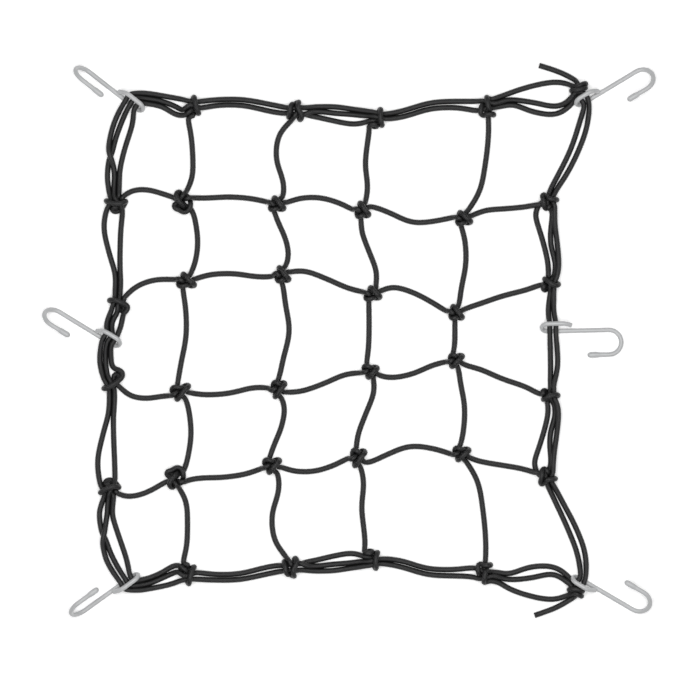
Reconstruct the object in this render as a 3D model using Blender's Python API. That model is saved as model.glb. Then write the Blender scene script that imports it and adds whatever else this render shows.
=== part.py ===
"""Elastic cargo net with six wire hooks, lying flat as seen from straight above.

One braided cord net of five by five meshes, knotted at 34 places, is a single solid. Each hook is a
bent wire whose eye holds the edge cords and whose J is open towards its own shank.

Frame: metres, +Z up, the surface at z = 0, the origin under the middle of the whole outline, +X to the
right and +Y to the top of the net as it lies. The tables below are in millimetres and degrees.
"""

import math
from collections import namedtuple

import bmesh
import bpy
from mathutils import Matrix, Vector

MM = 0.001

# The cord of the net
CORD_SIDES = 6
CORD_HALF_HEIGHT = 1.92
CORD_LANE_STEP = 0.22
CORD_TOLERANCE = 0.85
KNOT_CORD_Z = 4.6
LEG_SAMPLES = 6

# The wire of a hook
WIRE_SIDES = 8
WIRE_RADIUS = 1.9
EYE_RADIUS = 5.2
BEND_RADIUS = 10.1
BEND_STEPS = 9
EYE_STEPS = 6
# The return leg: how far from its cut end, and how far from the shank
EYE_LEG_APART = 2 * EYE_RADIUS
EYE_LEG = ((0.0, 4.6), (2.6, 7.6), (5.6, 9.9), (8.4, EYE_LEG_APART))
# The thickened tip: how far from its end, and the radius
TIP_PROFILE = ((11.0, WIRE_RADIUS), (8.0, 2.4), (1.6, 2.4), (0.0, 1.4))

# Cords that pass through an eye lie between its shank and its return leg, and cross both level
EYE_CORD_Z = 6.1
EYE_MARGIN = 1.0

Knot = namedtuple("Knot", "x y turn")
Station = namedtuple("Station", "along half_width height")
Span = namedtuple("Span", "start end slot bows")
Hook = namedtuple("Hook", "x y heading tip_side roll eye_tilt eye_length shank tip_leg")
CornerCord = namedtuple("CornerCord", "start slot bows corner hook reach end_bows end end_slot")
KnottedCord = namedtuple(
    "KnottedCord", "start slot bows corner entry turn hook reach end_bows end end_slot"
)
SideCord = namedtuple("SideCord", "start end slot quarter hook reach three_quarters")
TailCord = namedtuple("TailCord", "start slot bows corner tail")

# Knots between mesh cords: place, and the heading of the side where the loop of the bend is open
MESH_KNOTS = {
    "K11": Knot(-136.5, 114.5, 45), "K12": Knot(-59.0, 110.5, 35), "K13": Knot(11.0, 107.0, 35),
    "K14": Knot(93.5, 100.5, 45), "K21": Knot(-133.5, 49.0, 45), "K22": Knot(-55.0, 54.5, 30),
    "K23": Knot(18.0, 38.5, 45), "K24": Knot(87.5, 23.5, 35), "K31": Knot(-138.5, -41.5, -45),
    "K32": Knot(-58.0, -39.0, -30), "K33": Knot(16.5, -23.5, -45), "K34": Knot(87.0, -15.0, -35),
    "K41": Knot(-142.5, -112.0, -45), "K42": Knot(-63.0, -102.0, -35), "K43": Knot(7.5, -95.5, -35),
    "K44": Knot(92.0, -92.0, -45),
}
# Knots on the edge: place, and the heading of the bar that ends the knot
EDGE_KNOTS = {
    "T1": Knot(-129.5, 190.5, 0), "T2": Knot(-44.5, 187.5, 0), "T3": Knot(21.5, 181.5, 0),
    "T4": Knot(113.0, 190.5, 0), "B1": Knot(-132.0, -190.0, 0), "B2": Knot(-47.5, -185.0, 0),
    "B3": Knot(19.0, -178.5, 0), "B4": Knot(110.5, -187.5, 0), "L1": Knot(-191.0, 112.5, 90),
    "L2": Knot(-188.5, 30.0, 90), "L3": Knot(-194.0, -34.0, -90), "L4": Knot(-196.0, -120.0, -90),
    "R1": Knot(162.5, 113.0, 90), "R2": Knot(165.0, 46.5, 90), "R3": Knot(165.0, -45.0, -90),
    "R4": Knot(161.5, -110.5, -90), "TR": Knot(188.5, 207.5, -62), "BR": Knot(187.0, -206.5, 62),
}
# Corners where the cords only pass through a hook: the ends of the chords that the bows are set off from
CORNERS = {"TL": Knot(-179.0, 199.5, 0), "BL": Knot(-177.0, -199.0, 0)}
KNOTS = {**MESH_KNOTS, **EDGE_KNOTS, **CORNERS}
# Where the cords from the right-hand corner hooks start down and up the right edge
EYE_CORNERS = {"TR": (193.5, 199.0), "BR": (191.0, -198.0)}

# The outline of a knot from the closed loop (or the far bar) to the open side
MESH_KNOT_STATIONS = (
    Station(-7.4, 2.4, 5.0), Station(-5.4, 4.4, 8.4), Station(-3.0, 3.8, 7.0),
    Station(0.4, 7.8, 10.6), Station(3.2, 7.4, 10.2), Station(5.2, 4.0, 6.4),
)
EDGE_KNOT_STATIONS = (
    Station(-7.6, 4.0, 5.0), Station(-5.4, 7.2, 9.4), Station(-2.2, 6.0, 7.8),
    Station(0.8, 8.6, 10.6), Station(4.2, 8.2, 10.2), Station(6.2, 5.0, 6.0),
)
CORNER_KNOT_STATIONS = (
    Station(-5.4, 4.0, 5.0), Station(-3.6, 8.2, 9.6), Station(-0.6, 7.4, 8.0),
    Station(1.8, 9.2, 10.6), Station(4.4, 5.0, 6.0),
)
KNOT_SIDES = 6

# Where a mesh cord enters an upper mesh knot; lower ones are mirrored top to bottom
PORTS = {"left": (-3.5, 1.0), "right": (3.5, 1.0), "up": (3.0, 3.0), "down": (-1.0, -3.5)}

# Bows: how far a cord lies off the straight line between its knots at a quarter, half and three quarters
# of the way, towards the top edge for a cord that runs across, and towards the right for one that runs down.
# The rows are the upper half. The lower half repeats them mirrored top to bottom.
MESH_SPANS_ACROSS = (
    Span("L1", "K11", 0, (10.2, 9.9, 5.2)), Span("K11", "K12", 0, (3.1, 5.1, 4.5)),
    Span("K12", "K13", 0, (6.8, 8.3, 4.3)), Span("K13", "K14", 0, (0.0, -7.0, -3.9)),
    Span("K14", "R1", 0, (3.0, 1.2, -0.5)), Span("L2", "K21", 0, (9.2, 9.8, 5.9)),
    Span("K21", "K22", 0, (3.7, 3.0, -1.0)), Span("K22", "K23", 0, (6.6, 4.1, 0.2)),
    Span("K23", "K24", 0, (9.3, 8.2, 2.9)), Span("K24", "R2", 0, (0.8, 1.6, 0.8)),
)
MESH_SPANS_DOWN = (
    Span("T1", "K11", 0, (1.5, 4.9, 6.3)), Span("T2", "K12", 0, (-9.4, -7.9, 1.6)),
    Span("T3", "K13", 0, (-3.5, -2.9, 1.7)), Span("T4", "K14", 0, (6.2, 8.6, 8.9)),
    Span("K11", "K21", 0, (9.6, 11.1, 8.6)), Span("K12", "K22", 0, (0.2, 5.3, 6.6)),
    Span("K13", "K23", 0, (-2.4, 2.0, 6.5)), Span("K14", "K24", 0, (3.3, 5.2, 3.0)),
)
# Mesh cords that cross the middle of the net, which have no mirrored fellow
MIDDLE_SPANS = (
    Span("K21", "K31", 0, (0.9, 2.5, -0.4)), Span("K22", "K32", 0, (3.5, 7.6, 3.3)),
    Span("K23", "K33", 0, (-1.2, -0.8, -1.0)), Span("K24", "K34", 0, (0.0, 0.0, 0.0)),
)
# Edge cords. The slot is how far outside the knot's middle the cord enters it.
EDGE_SPANS_ACROSS = (
    Span("T1", "T2", 2.2, (7.5, 8.4, 5.5)), Span("T1", "T2", -2.2, (2.9, 3.6, -0.3)),
    Span("T2", "T3", 4.0, (4.3, 6.8, 5.8)), Span("T2", "T3", 0.0, (1.8, 1.7, 2.0)),
    Span("T2", "T3", -4.0, (-1.4, -4.6, -5.9)), Span("T3", "T4", 2.2, (4.5, 8.8, 7.6)),
    Span("T3", "T4", -2.2, (-0.5, 3.9, 2.4)),
)
EDGE_SPANS_DOWN = (
    Span("L1", "L2", 2.2, (-10.5, -6.6, -1.2)), Span("L1", "L2", -2.2, (3.3, 2.0, 1.1)),
    Span("R1", "R2", -4.0, (-9.9, -4.4, -1.0)), Span("R1", "R2", 0.0, (1.8, 1.4, 3.4)),
    Span("R1", "R2", 4.0, (5.4, 6.6, 7.2)),
)

# The line of each shank on the surface at the back of its eye, its heading, the side on which the tip
# lies (1 is left of the heading), how far the J is rolled up, how far the eye leans from upright, and the
# lengths of the eye's return leg, of the shank to the bend and of the leg from the bend to the tip
HOOKS = {
    "hook_top_left": Hook(-170.6, 187.1, 142.0, 1, 64.0, 29.0, 24.0, 52.9, 21.8),
    "hook_top_right": Hook(187.5, 191.7, 31.0, -1, 34.0, 29.0, 20.5, 55.4, 18.6),
    "hook_mid_left": Hook(-189.6, -5.8, 148.5, 1, 53.0, 36.0, 21.5, 55.2, 17.6),
    "hook_mid_right": Hook(158.0, 7.4, 1.3, -1, 4.0, 36.0, 24.0, 54.8, 17.8),
    "hook_bottom_left": Hook(-173.8, -190.4, 215.8, -1, 66.0, 20.0, 24.0, 52.2, 20.4),
    "hook_bottom_right": Hook(184.5, -192.4, -30.3, 1, 34.0, 25.0, 20.5, 55.4, 17.8),
}

# Cords through the eyes of the left-hand corner hooks. The bows are set off from the chord between a knot
# and the corner, in the order in which the cord runs. The reach is how far from the back of the eye the
# cord passes through.
CORNER_CORDS = (
    CornerCord("T1", 4.0, (5.0, 5.2, 4.3), "TL", "hook_top_left", 15.4, (-10.7, -11.2, -3.0), "L1", 4.0),
    CornerCord("T1", 0.0, (0.2, 0.7, 0.7), "TL", "hook_top_left", 10.5, (-4.9, -9.4, -9.8), "L1", 0.0),
    CornerCord("T1", -4.0, (-7.8, -1.4, -1.8), "TL", "hook_top_left", 5.6, (4.7, 0.8, -1.3), "L1", -4.0),
    CornerCord("B1", 4.0, (-6.6, -7.0, -6.3), "BL", "hook_bottom_left", 15.4, (-17.2, -14.4, -6.2), "L4", 0.0),
    CornerCord("B1", 0.0, (0.9, 0.0, -2.3), "BL", "hook_bottom_left", 10.5, (-11.5, -14.8, -13.1), "L4", 4.0),
    CornerCord("B1", -4.0, (7.2, 2.0, 0.0), "BL", "hook_bottom_left", 5.6, (-0.5, -2.5, -3.9), "L4", -4.0),
)
# Cords that come up through a right-hand corner knot and then pass through that corner's hook. The entry
# and the turn are where the cord enters the knot and where it is furthest into the corner.
KNOTTED_CORDS = (
    KnottedCord("T4", 0.0, (1.8, -4.0, -11.8), "TR", (179.5, 198.5), (187.5, 206.5), "hook_top_right", 10.6,
                (10.1, 10.3, 7.1), "R1", 2.2),
    KnottedCord("T4", -4.0, (-0.2, -11.5, -17.9), "TR", (182.0, 196.2), (187.5, 203.0), "hook_top_right", 5.8,
                (3.9, 3.7, 0.4), "R1", -2.2),
    KnottedCord("B4", 0.0, (-3.5, 2.4, 10.5), "BR", (176.5, -199.2), (185.5, -205.5), "hook_bottom_right", 10.6,
                (10.2, 10.1, 6.1), "R4", 2.2),
    KnottedCord("B4", -4.0, (0.3, 11.4, 16.2), "BR", (178.6, -195.8), (185.5, -202.5), "hook_bottom_right", 5.8,
                (3.8, 3.0, 0.2), "R4", -2.2),
)
# Cords through the hooks halfway up the sides, with their bows a quarter and three quarters of the way
SIDE_CORDS = (
    SideCord("L2", "L3", 4.0, -8.4, "hook_mid_left", 13.7, -11.7),
    SideCord("L2", "L3", 0.0, -4.8, "hook_mid_left", 9.4, -6.4),
    SideCord("L2", "L3", -4.0, 2.5, "hook_mid_left", 5.1, -1.5),
    SideCord("R2", "R3", -2.2, -2.7, "hook_mid_right", 6.4, -0.4),
    SideCord("R2", "R3", 2.2, 3.4, "hook_mid_right", 11.4, 5.3),
)
# The cords that tie the right-hand corner knots and end in a free tail
TAIL_CORDS = (
    TailCord("T4", 4.0, (7.8, 9.7, 8.5), "TR", ((185.3, 213.0), (173.0, 219.8), (152.9, 226.3))),
    TailCord("B4", 4.0, (-10.1, -12.5, -10.4), "BR", ((184.0, -210.5), (170.6, -218.6), (149.2, -226.3))),
)

QUARTERS = (0.25, 0.5, 0.75)
SLOTS = (4.0, 0.0, -4.0, 2.2, -2.2)
UP = Vector((0.0, 0.0, 1.0))
ACROSS = Vector((0.0, 1.0))
DOWN = Vector((1.0, 0.0))
OUTWARD = {"T": (0.0, 1.0), "B": (0.0, -1.0), "L": (-1.0, 0.0), "R": (1.0, 0.0)}


def mirrored(name):
    """The knot that mirrors this one top to bottom."""
    if name[0] in "TB":
        return ("B" if name[0] == "T" else "T") + name[1:]
    return f"{name[0]}{5 - int(name[1])}{name[2:]}"


def place(name):
    """A knot's place on the surface."""
    return Vector((KNOTS[name].x, KNOTS[name].y))


def mesh_port(name, way):
    """Where a mesh cord that leaves this way starts inside a knot."""
    knot = KNOTS[name]
    if name in EDGE_KNOTS:
        return edge_port(name, -3.5)
    if knot.turn > 0:
        return place(name) + Vector(PORTS[way])
    flipped = {"up": "down", "down": "up"}.get(way, way)
    across, up = PORTS[flipped]
    return place(name) + Vector((across, -up))


def edge_port(name, slot):
    """Where an edge cord starts inside a knot, this far outside its middle."""
    return place(name) + slot * Vector(OUTWARD[name[0]])


def off_chord(start, end, bows, side, parts=QUARTERS):
    """Points set off sideways from the straight line between two places."""
    return [start.lerp(end, part) + bow * side for part, bow in zip(parts, bows)]


def eased(points, samples):
    """A smooth curve through points of x, y and height: round in plan, and level where heights match."""
    ends = [2 * points[0] - points[1]] + points + [2 * points[-1] - points[-2]]
    path = [points[0]]
    for before, start, end, after in zip(ends, ends[1:], ends[2:], ends[3:]):
        for step in range(1, samples + 1):
            t = step / samples
            spot = 0.5 * (
                2 * start
                + (end - before) * t
                + (2 * before - 5 * start + 4 * end - after) * t ** 2
                + (3 * start - before - 3 * end + after) * t ** 3
            )
            spot.z = start.z + (end.z - start.z) * t * t * (3 - 2 * t)
            path.append(spot)
    return path


def thinned(path, tolerance):
    """The path with only the points that keep it within the tolerance."""
    if len(path) < 3:
        return path
    chord = (path[-1] - path[0]).normalized()
    offsets = [(spot - path[0]).cross(chord).length for spot in path]
    worst = max(range(len(path)), key=offsets.__getitem__)
    if offsets[worst] < tolerance:
        return [path[0], path[-1]]
    return thinned(path[: worst + 1], tolerance)[:-1] + thinned(path[worst:], tolerance)


def columns(across, up, along, spot):
    """A matrix with these axes and this origin."""
    return Matrix(((*across, 0.0), (*up, 0.0), (*along, 0.0), (*spot, 1.0))).transposed()


def headings(path):
    """The heading at each point of a path, halfway between the stretches that meet there."""
    runs = [(b - a).normalized() for a, b in zip(path, path[1:])]
    return [(a + b).normalized() for a, b in zip(runs[:1] + runs, runs + runs[-1:])]


def extruded(name, frames, sides):
    """A solid whose regular polygon is extruded from one frame to the next, as a linked object."""
    bm = bmesh.new()
    bmesh.ops.create_circle(bm, cap_ends=True, segments=sides, radius=1.0)
    flat_down = Matrix.Rotation(math.pi / sides, 4, "Z")
    bmesh.ops.transform(bm, matrix=frames[0] @ flat_down, verts=bm.verts)
    face = bm.faces[:][0]
    for step, (before, after) in enumerate(zip(frames, frames[1:])):
        grown = bmesh.ops.extrude_face_region(bm, geom=[face])["geom"]
        if step:
            bmesh.ops.delete(bm, geom=[face], context="FACES_ONLY")
        face = next(item for item in grown if isinstance(item, bmesh.types.BMFace))
        bmesh.ops.transform(bm, matrix=after @ before.inverted(), verts=face.verts)
    bmesh.ops.recalc_face_normals(bm, faces=bm.faces)
    bmesh.ops.scale(bm, vec=(MM, MM, MM), verts=bm.verts)
    mesh = bpy.data.meshes.new(name)
    bm.to_mesh(mesh)
    bm.free()
    mesh.shade_smooth()
    body = bpy.data.objects.new(name, mesh)
    bpy.context.scene.collection.objects.link(body)
    return body


def cord(name, points):
    """A cord through these points, flat side down."""
    radius = CORD_HALF_HEIGHT / math.cos(math.pi / CORD_SIDES)
    path = thinned(eased(points, LEG_SAMPLES), CORD_TOLERANCE)
    frames = []
    for spot, along in zip(path, headings(path)):
        across = UP.cross(along).normalized()
        frames.append(columns(radius * across, radius * along.cross(across), along, spot))
    return extruded(name, frames, CORD_SIDES)


def raised(spots, heights):
    """Places on the surface, each lifted to its height."""
    return [Vector((spot.x, spot.y, height)) for spot, height in zip(spots, heights)]


def floor_height(slot):
    """The height at which a cord of this slot lies on the surface."""
    return CORD_HALF_HEIGHT + CORD_LANE_STEP * (SLOTS.index(slot) if slot in SLOTS else 0)


def between_knots(start_port, end_port, chord, bows, side, slot):
    """The points of a cord that sags from one knot to the surface and rises to the next."""
    spots = [start_port] + off_chord(*chord, bows, side) + [end_port]
    level = floor_height(slot)
    return raised(spots, [KNOT_CORD_Z, level, level, level, KNOT_CORD_Z])


def span_points(span, side, flip):
    """The points of a span, or of its mirror image when flipped."""
    start, end = (mirrored(span.start), mirrored(span.end)) if flip else (span.start, span.end)
    shift = Vector((side.x, -side.y)) if flip else side
    if start in EDGE_KNOTS and end in EDGE_KNOTS:
        ports = edge_port(start, span.slot), edge_port(end, span.slot)
    else:
        leaving = "right" if side == ACROSS else ("up" if flip else "down")
        arriving = {"right": "left", "down": "up", "up": "down"}[leaving]
        ports = mesh_port(start, leaving), mesh_port(end, arriving)
    return between_knots(*ports, (place(start), place(end)), span.bows, shift, span.slot)


def hook_axes(hook):
    """A hook's heading, its tip side, and the ways from its shank to its tip and to its return leg."""
    heading, roll, tilt = (math.radians(angle) for angle in (hook.heading, hook.roll, hook.eye_tilt))
    along = Vector((math.cos(heading), math.sin(heading), 0.0))
    side = hook.tip_side * UP.cross(along)
    to_tip = math.cos(roll) * side + math.sin(roll) * UP
    to_leg = -math.sin(tilt) * side + math.cos(tilt) * UP
    return along, side, to_tip, to_leg


def eye_spots(hook_name, reach):
    """Where a cord passes under a hook's return leg, and then over its shank."""
    hook = HOOKS[hook_name]
    along, side, _, _ = hook_axes(hook)
    far = EYE_LEG_APART * math.sin(math.radians(hook.eye_tilt)) + EYE_MARGIN
    middle = Vector((hook.x, hook.y, 0.0)) + reach * along
    return [(middle - far * side).to_2d(), (middle + EYE_MARGIN * side).to_2d()]


def corner_points(row):
    """The points of a cord that passes through a left-hand corner hook."""
    spots = [edge_port(row.start, row.slot)]
    spots += off_chord(place(row.start), place(row.corner), row.bows, ACROSS)
    spots += eye_spots(row.hook, row.reach)
    spots += off_chord(place(row.corner), place(row.end), row.end_bows, DOWN)
    spots += [edge_port(row.end, row.end_slot)]
    low = [floor_height(row.slot)] * 3
    return raised(spots, [KNOT_CORD_Z, *low, EYE_CORD_Z, EYE_CORD_Z, *low, KNOT_CORD_Z])


def knotted_points(row):
    """The points of a cord that comes up under a right-hand corner knot and passes through the hook."""
    spots = [edge_port(row.start, row.slot)]
    spots += off_chord(place(row.start), place(row.corner), row.bows, ACROSS)
    spots += [Vector(row.entry), Vector(row.turn)] + eye_spots(row.hook, row.reach)
    corner = Vector(EYE_CORNERS[row.corner])
    spots += off_chord(corner, place(row.end), row.end_bows, DOWN)
    spots += [edge_port(row.end, row.end_slot)]
    low = [floor_height(row.slot)] * 3
    passing = [KNOT_CORD_Z, KNOT_CORD_Z, EYE_CORD_Z, EYE_CORD_Z]
    return raised(spots, [KNOT_CORD_Z, *low, *passing, *low, KNOT_CORD_Z])


def side_points(row):
    """The points of a cord that passes through a hook halfway up a side."""
    start, end = place(row.start), place(row.end)
    spots = [edge_port(row.start, row.slot)]
    spots += off_chord(start, end, (row.quarter,), DOWN, QUARTERS[:1])
    spots += eye_spots(row.hook, row.reach)
    spots += off_chord(start, end, (row.three_quarters,), DOWN, QUARTERS[2:])
    spots += [edge_port(row.end, row.slot)]
    low = floor_height(row.slot)
    return raised(spots, [KNOT_CORD_Z, low, EYE_CORD_Z, EYE_CORD_Z, low, KNOT_CORD_Z])


def tail_points(row):
    """The points of the cord that ties a right-hand corner knot, and those of its tail."""
    chord = place(row.start), place(row.corner)
    ports = edge_port(row.start, row.slot), place(row.corner)
    tail = [place(row.corner)] + [Vector(spot) for spot in row.tail]
    heights = [KNOT_CORD_Z, KNOT_CORD_Z, CORD_HALF_HEIGHT, CORD_HALF_HEIGHT]
    return between_knots(*ports, chord, row.bows, ACROSS, row.slot), raised(tail, heights)


def all_cords():
    """The points of every cord between knots."""
    found = []
    for side, halves, middles in (
        (ACROSS, MESH_SPANS_ACROSS + EDGE_SPANS_ACROSS, ()),
        (DOWN, MESH_SPANS_DOWN + EDGE_SPANS_DOWN, MIDDLE_SPANS),
    ):
        found += [span_points(span, side, flip) for span in halves for flip in (False, True)]
        found += [span_points(span, side, False) for span in middles]
    found += [corner_points(row) for row in CORNER_CORDS]
    found += [knotted_points(row) for row in KNOTTED_CORDS]
    found += [side_points(row) for row in SIDE_CORDS]
    for row in TAIL_CORDS:
        found += tail_points(row)
    return found


def knot(name):
    """A ridged knot that stands flat on the surface, its stations in line with its turn."""
    stations = MESH_KNOT_STATIONS
    if name in EDGE_KNOTS:
        stations = CORNER_KNOT_STATIONS if name in EYE_CORNERS else EDGE_KNOT_STATIONS
    spot = KNOTS[name]
    turn = math.radians(spot.turn)
    along = Vector((math.cos(turn), math.sin(turn), 0.0))
    across = UP.cross(along)
    flat = math.cos(math.pi / KNOT_SIDES)
    frames = []
    for station in stations:
        middle = Vector((spot.x, spot.y, station.height / 2)) + station.along * along
        rise = station.height / 2 / flat * UP
        frames.append(columns(station.half_width * across, rise, along, middle))
    return extruded(f"knot_{name}", frames, KNOT_SIDES)


def net():
    """All cords and knots joined into one solid."""
    pieces = [knot(name) for name in KNOTS if name not in CORNERS]
    pieces += [cord(f"cord_{number}", points) for number, points in enumerate(all_cords())]
    joined = bpy.data.collections.new("net_pieces")
    for piece in pieces[1:]:
        joined.objects.link(piece)
        piece.hide_render = True
        piece.display_type = "WIRE"
    body = pieces[0]
    body.name = "net"
    union = body.modifiers.new("Union", "BOOLEAN")
    union.operation = "UNION"
    union.solver = "EXACT"
    union.operand_type = "COLLECTION"
    union.collection = joined
    return body


def hook_path(hook):
    """The points of a hook's wire from its tip to the cut end of its eye, and the radius at each."""
    along, _, to_tip, to_leg = hook_axes(hook)
    base = Vector((hook.x, hook.y, WIRE_RADIUS))
    path = [base + (hook.eye_length - back) * along + apart * to_leg for back, apart in EYE_LEG]
    eye_middle = base + EYE_RADIUS * (along + to_leg)
    for step in range(EYE_STEPS + 1):
        turn = math.pi * step / EYE_STEPS
        path.append(eye_middle + EYE_RADIUS * (math.cos(turn) * to_leg - math.sin(turn) * along))
    bend_middle = base + hook.shank * along + BEND_RADIUS * to_tip
    for step in range(BEND_STEPS + 1):
        turn = math.pi * step / BEND_STEPS
        path.append(bend_middle + BEND_RADIUS * (math.sin(turn) * along - math.cos(turn) * to_tip))
    radii = [WIRE_RADIUS] * len(path)
    for back, radius in TIP_PROFILE:
        path.append(bend_middle + BEND_RADIUS * to_tip - (hook.tip_leg - back) * along)
        radii.append(radius)
    return path[::-1], radii[::-1]


def hook_body(name):
    """One bent wire hook, with flats that face the inside of its bend."""
    hook = HOOKS[name]
    path, radii = hook_path(hook)
    across = hook_axes(hook)[2]
    frames = []
    for spot, along, radius in zip(path, headings(path), radii):
        across = (across - across.dot(along) * along).normalized()
        frames.append(columns(radius * across.cross(along), radius * across, along, spot))
    return extruded(name, frames, WIRE_SIDES)


def finish(name, colour, roughness, metallic):
    """A plain surface of this colour."""
    material = bpy.data.materials.new(name)
    material.use_nodes = True
    shader = material.node_tree.nodes["Principled BSDF"]
    shader.inputs["Base Color"].default_value = (*colour, 1.0)
    shader.inputs["Roughness"].default_value = roughness
    shader.inputs["Metallic"].default_value = metallic
    return material


def main():
    """Clears the scene, and builds the net and its hooks."""
    for leftover in list(bpy.data.objects):
        bpy.data.objects.remove(leftover)
    net().data.materials.append(finish("braided elastic cord", (0.018, 0.018, 0.019), 0.7, 0.0))
    wire = finish("coated wire", (0.66, 0.67, 0.68), 0.32, 0.0)
    for name in HOOKS:
        hook_body(name).data.materials.append(wire)


if __name__ == "__main__":
    main()
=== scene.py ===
"""Looks of a square elastic cargo net with six wire hooks, lying flat and seen from straight above.

The net is tied from round braided cord. Its cords are laid out here span by span and knot by knot, joined
end to end into whole cords, settled on the floor and on each other, and sleeved with a braid. Sizes in the
tables are in millimetres. The frame is the model's own: the floor at z = 0, +X to the right and +Y to the top
of the net.
"""

import logging
import math
from dataclasses import dataclass, field
from enum import Enum
from itertools import zip_longest
from typing import NamedTuple, Sequence

import bmesh
import bpy
import numpy as np
from bpy.types import Camera, Light, Material, Mesh, NodeSocket, NodeTree, Object
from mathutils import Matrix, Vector
from mathutils.kdtree import KDTree


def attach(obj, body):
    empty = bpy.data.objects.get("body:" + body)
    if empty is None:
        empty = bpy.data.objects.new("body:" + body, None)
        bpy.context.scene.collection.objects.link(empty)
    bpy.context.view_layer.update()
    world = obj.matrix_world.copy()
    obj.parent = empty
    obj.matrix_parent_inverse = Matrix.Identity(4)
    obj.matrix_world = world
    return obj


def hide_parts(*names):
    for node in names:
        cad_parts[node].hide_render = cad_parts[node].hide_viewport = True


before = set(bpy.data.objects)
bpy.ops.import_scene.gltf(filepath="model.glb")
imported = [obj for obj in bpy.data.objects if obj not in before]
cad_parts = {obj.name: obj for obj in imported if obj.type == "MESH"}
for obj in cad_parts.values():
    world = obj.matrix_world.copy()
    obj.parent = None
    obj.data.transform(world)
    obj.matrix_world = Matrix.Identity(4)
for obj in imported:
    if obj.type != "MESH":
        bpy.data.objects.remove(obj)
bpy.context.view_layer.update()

LOG = logging.getLogger("cargo_net")
MM = 0.001
ROOT = "root"
TINY = 1e-6
WELD = 0.01 * MM
STEPS_PER_POINT = 24
# The colour that the painted shade in the crevices between cords goes towards
PAINTED_SHADE_BLACK = (0.0, 0.0, 0.0, 1.0)
Input = float | tuple[float, ...] | NodeSocket


# ---- The plan of the net ----


class Way(Enum):
    """The side on which a cord leaves a knot."""

    LEFT = "left"
    RIGHT = "right"
    UP = "up"
    DOWN = "down"
    INWARD = "inward"
    TAIL = "tail"

    def mirrored(self) -> "Way":
        """The same side after the net is turned top to bottom."""
        return {Way.UP: Way.DOWN, Way.DOWN: Way.UP}.get(self, self)


LEFT, RIGHT, UP, DOWN, INWARD, TAIL = Way


class Port(NamedTuple):
    """One place where a cord leaves a knot: the knot, the side, and the lane, counted outwards."""

    knot: str
    way: Way
    lane: float = 0.0


class Pass(NamedTuple):
    """A cord's way through a knot: the sides and lanes where it comes in and goes out, and its turns."""

    start: tuple[Way, float]
    end: tuple[Way, float]
    turns: tuple[tuple[float, float, float], ...]


class KnotKind(NamedTuple):
    """A way of tying, as in the net's upper half: three marks on its outline, and the cords through it.

    Its tables give the marks first, and then each cord's way in, way out and turns.
    """

    marks: tuple[tuple[float, float], ...]
    passes: tuple[Pass, ...]


class Knot(NamedTuple):
    """A knot's place and kind, and about that place its marks and where its cords come out, upwards, to
    the right, downwards and to the left. A lower knot's are mirrored. Without marks it has those of its kind."""

    x: float
    y: float
    kind: KnotKind | None = None
    marks: tuple[tuple[float, float], ...] = ()
    exits: tuple[tuple[float, float], ...] = ()


class Span(NamedTuple):
    """A cord between two knots, with its bows off the chord at each quarter, and how far it rides up."""

    start: str
    end: str
    lane: float
    bows: tuple[float, float, float]
    lifts: tuple[float, float, float] = (0.0, 0.0, 0.0)


class HookPlace(NamedTuple):
    """Where a hook lies: the back of its eye on the shank line, its heading, tip side, roll and eye tilt,
    the lengths of its eye's return leg, of its shank and of the leg that ends in its tip, and how far the
    return leg is bent in to the shank."""

    x: float
    y: float
    heading: float
    tip_side: int
    roll: float
    eye_tilt: float
    eye_length: float
    shank: float
    tip_leg: float
    leg_bend: float = 5.8


class EyeCord(NamedTuple):
    """A cord from an edge knot through a corner hook's eye to the next edge knot."""

    start: str
    lane: float
    bows: tuple[float, float, float]
    corner: str
    passing: tuple[tuple[float, float, float], ...]
    hook: str
    reach: float
    end_bows: tuple[float, float, float]
    end: str
    end_lane: float


class SideCord(NamedTuple):
    """A cord through the eye of a hook halfway up a side."""

    start: str
    end: str
    lane: float
    quarter: float
    hook: str
    reach: float
    three_quarters: float


class TailCord(NamedTuple):
    """The cord that ties a right-hand corner knot and ends in a free tail."""

    start: str
    lane: float
    bows: tuple[float, float, float]
    corner: str
    tail: tuple[tuple[float, float], ...]


# A knot between mesh cords: a loop, and the cord that comes up through it, round its legs and out below.
# Marks: the top lobe, the lower left and the lower right.
MESH = KnotKind(((-2.2, 4.6), (-6.3, -3.4), (5.9, -3.0)), (
    Pass((UP, 0.0), (RIGHT, 0.0), (
        (2.9, 4.0, 4.8), (1.0, 2.3, 5.6), (-1.8, 1.2, 5.2), (-4.6, 0.2, 3.6), (-6.6, -1.6, 4.2), (-6.2, -3.4, 6.2),
        (-3.8, -3.4, 7.6), (-1.2, -2.4, 7.2), (1.2, -1.6, 6.2), (3.2, -0.4, 5.6), (5.2, 1.4, 4.8),
    )),
    Pass((LEFT, 0.0), (DOWN, 0.0), (
        (-4.6, 1.8, 6.4), (-2.2, 0.4, 6.0), (0.2, -2.2, 2.6), (3.4, -3.8, 2.0), (6.0, -4.0, 3.6), (6.6, -3.2, 6.4),
        (5.0, -2.2, 8.6), (3.0, -0.6, 9.3), (0.8, 1.8, 9.3), (-1.0, 3.9, 8.4), (-2.4, 4.8, 6.0), (-3.0, 3.6, 3.2),
        (-2.8, 0.8, 2.0), (-2.4, -2.6, 2.0),
    )),
))
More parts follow.
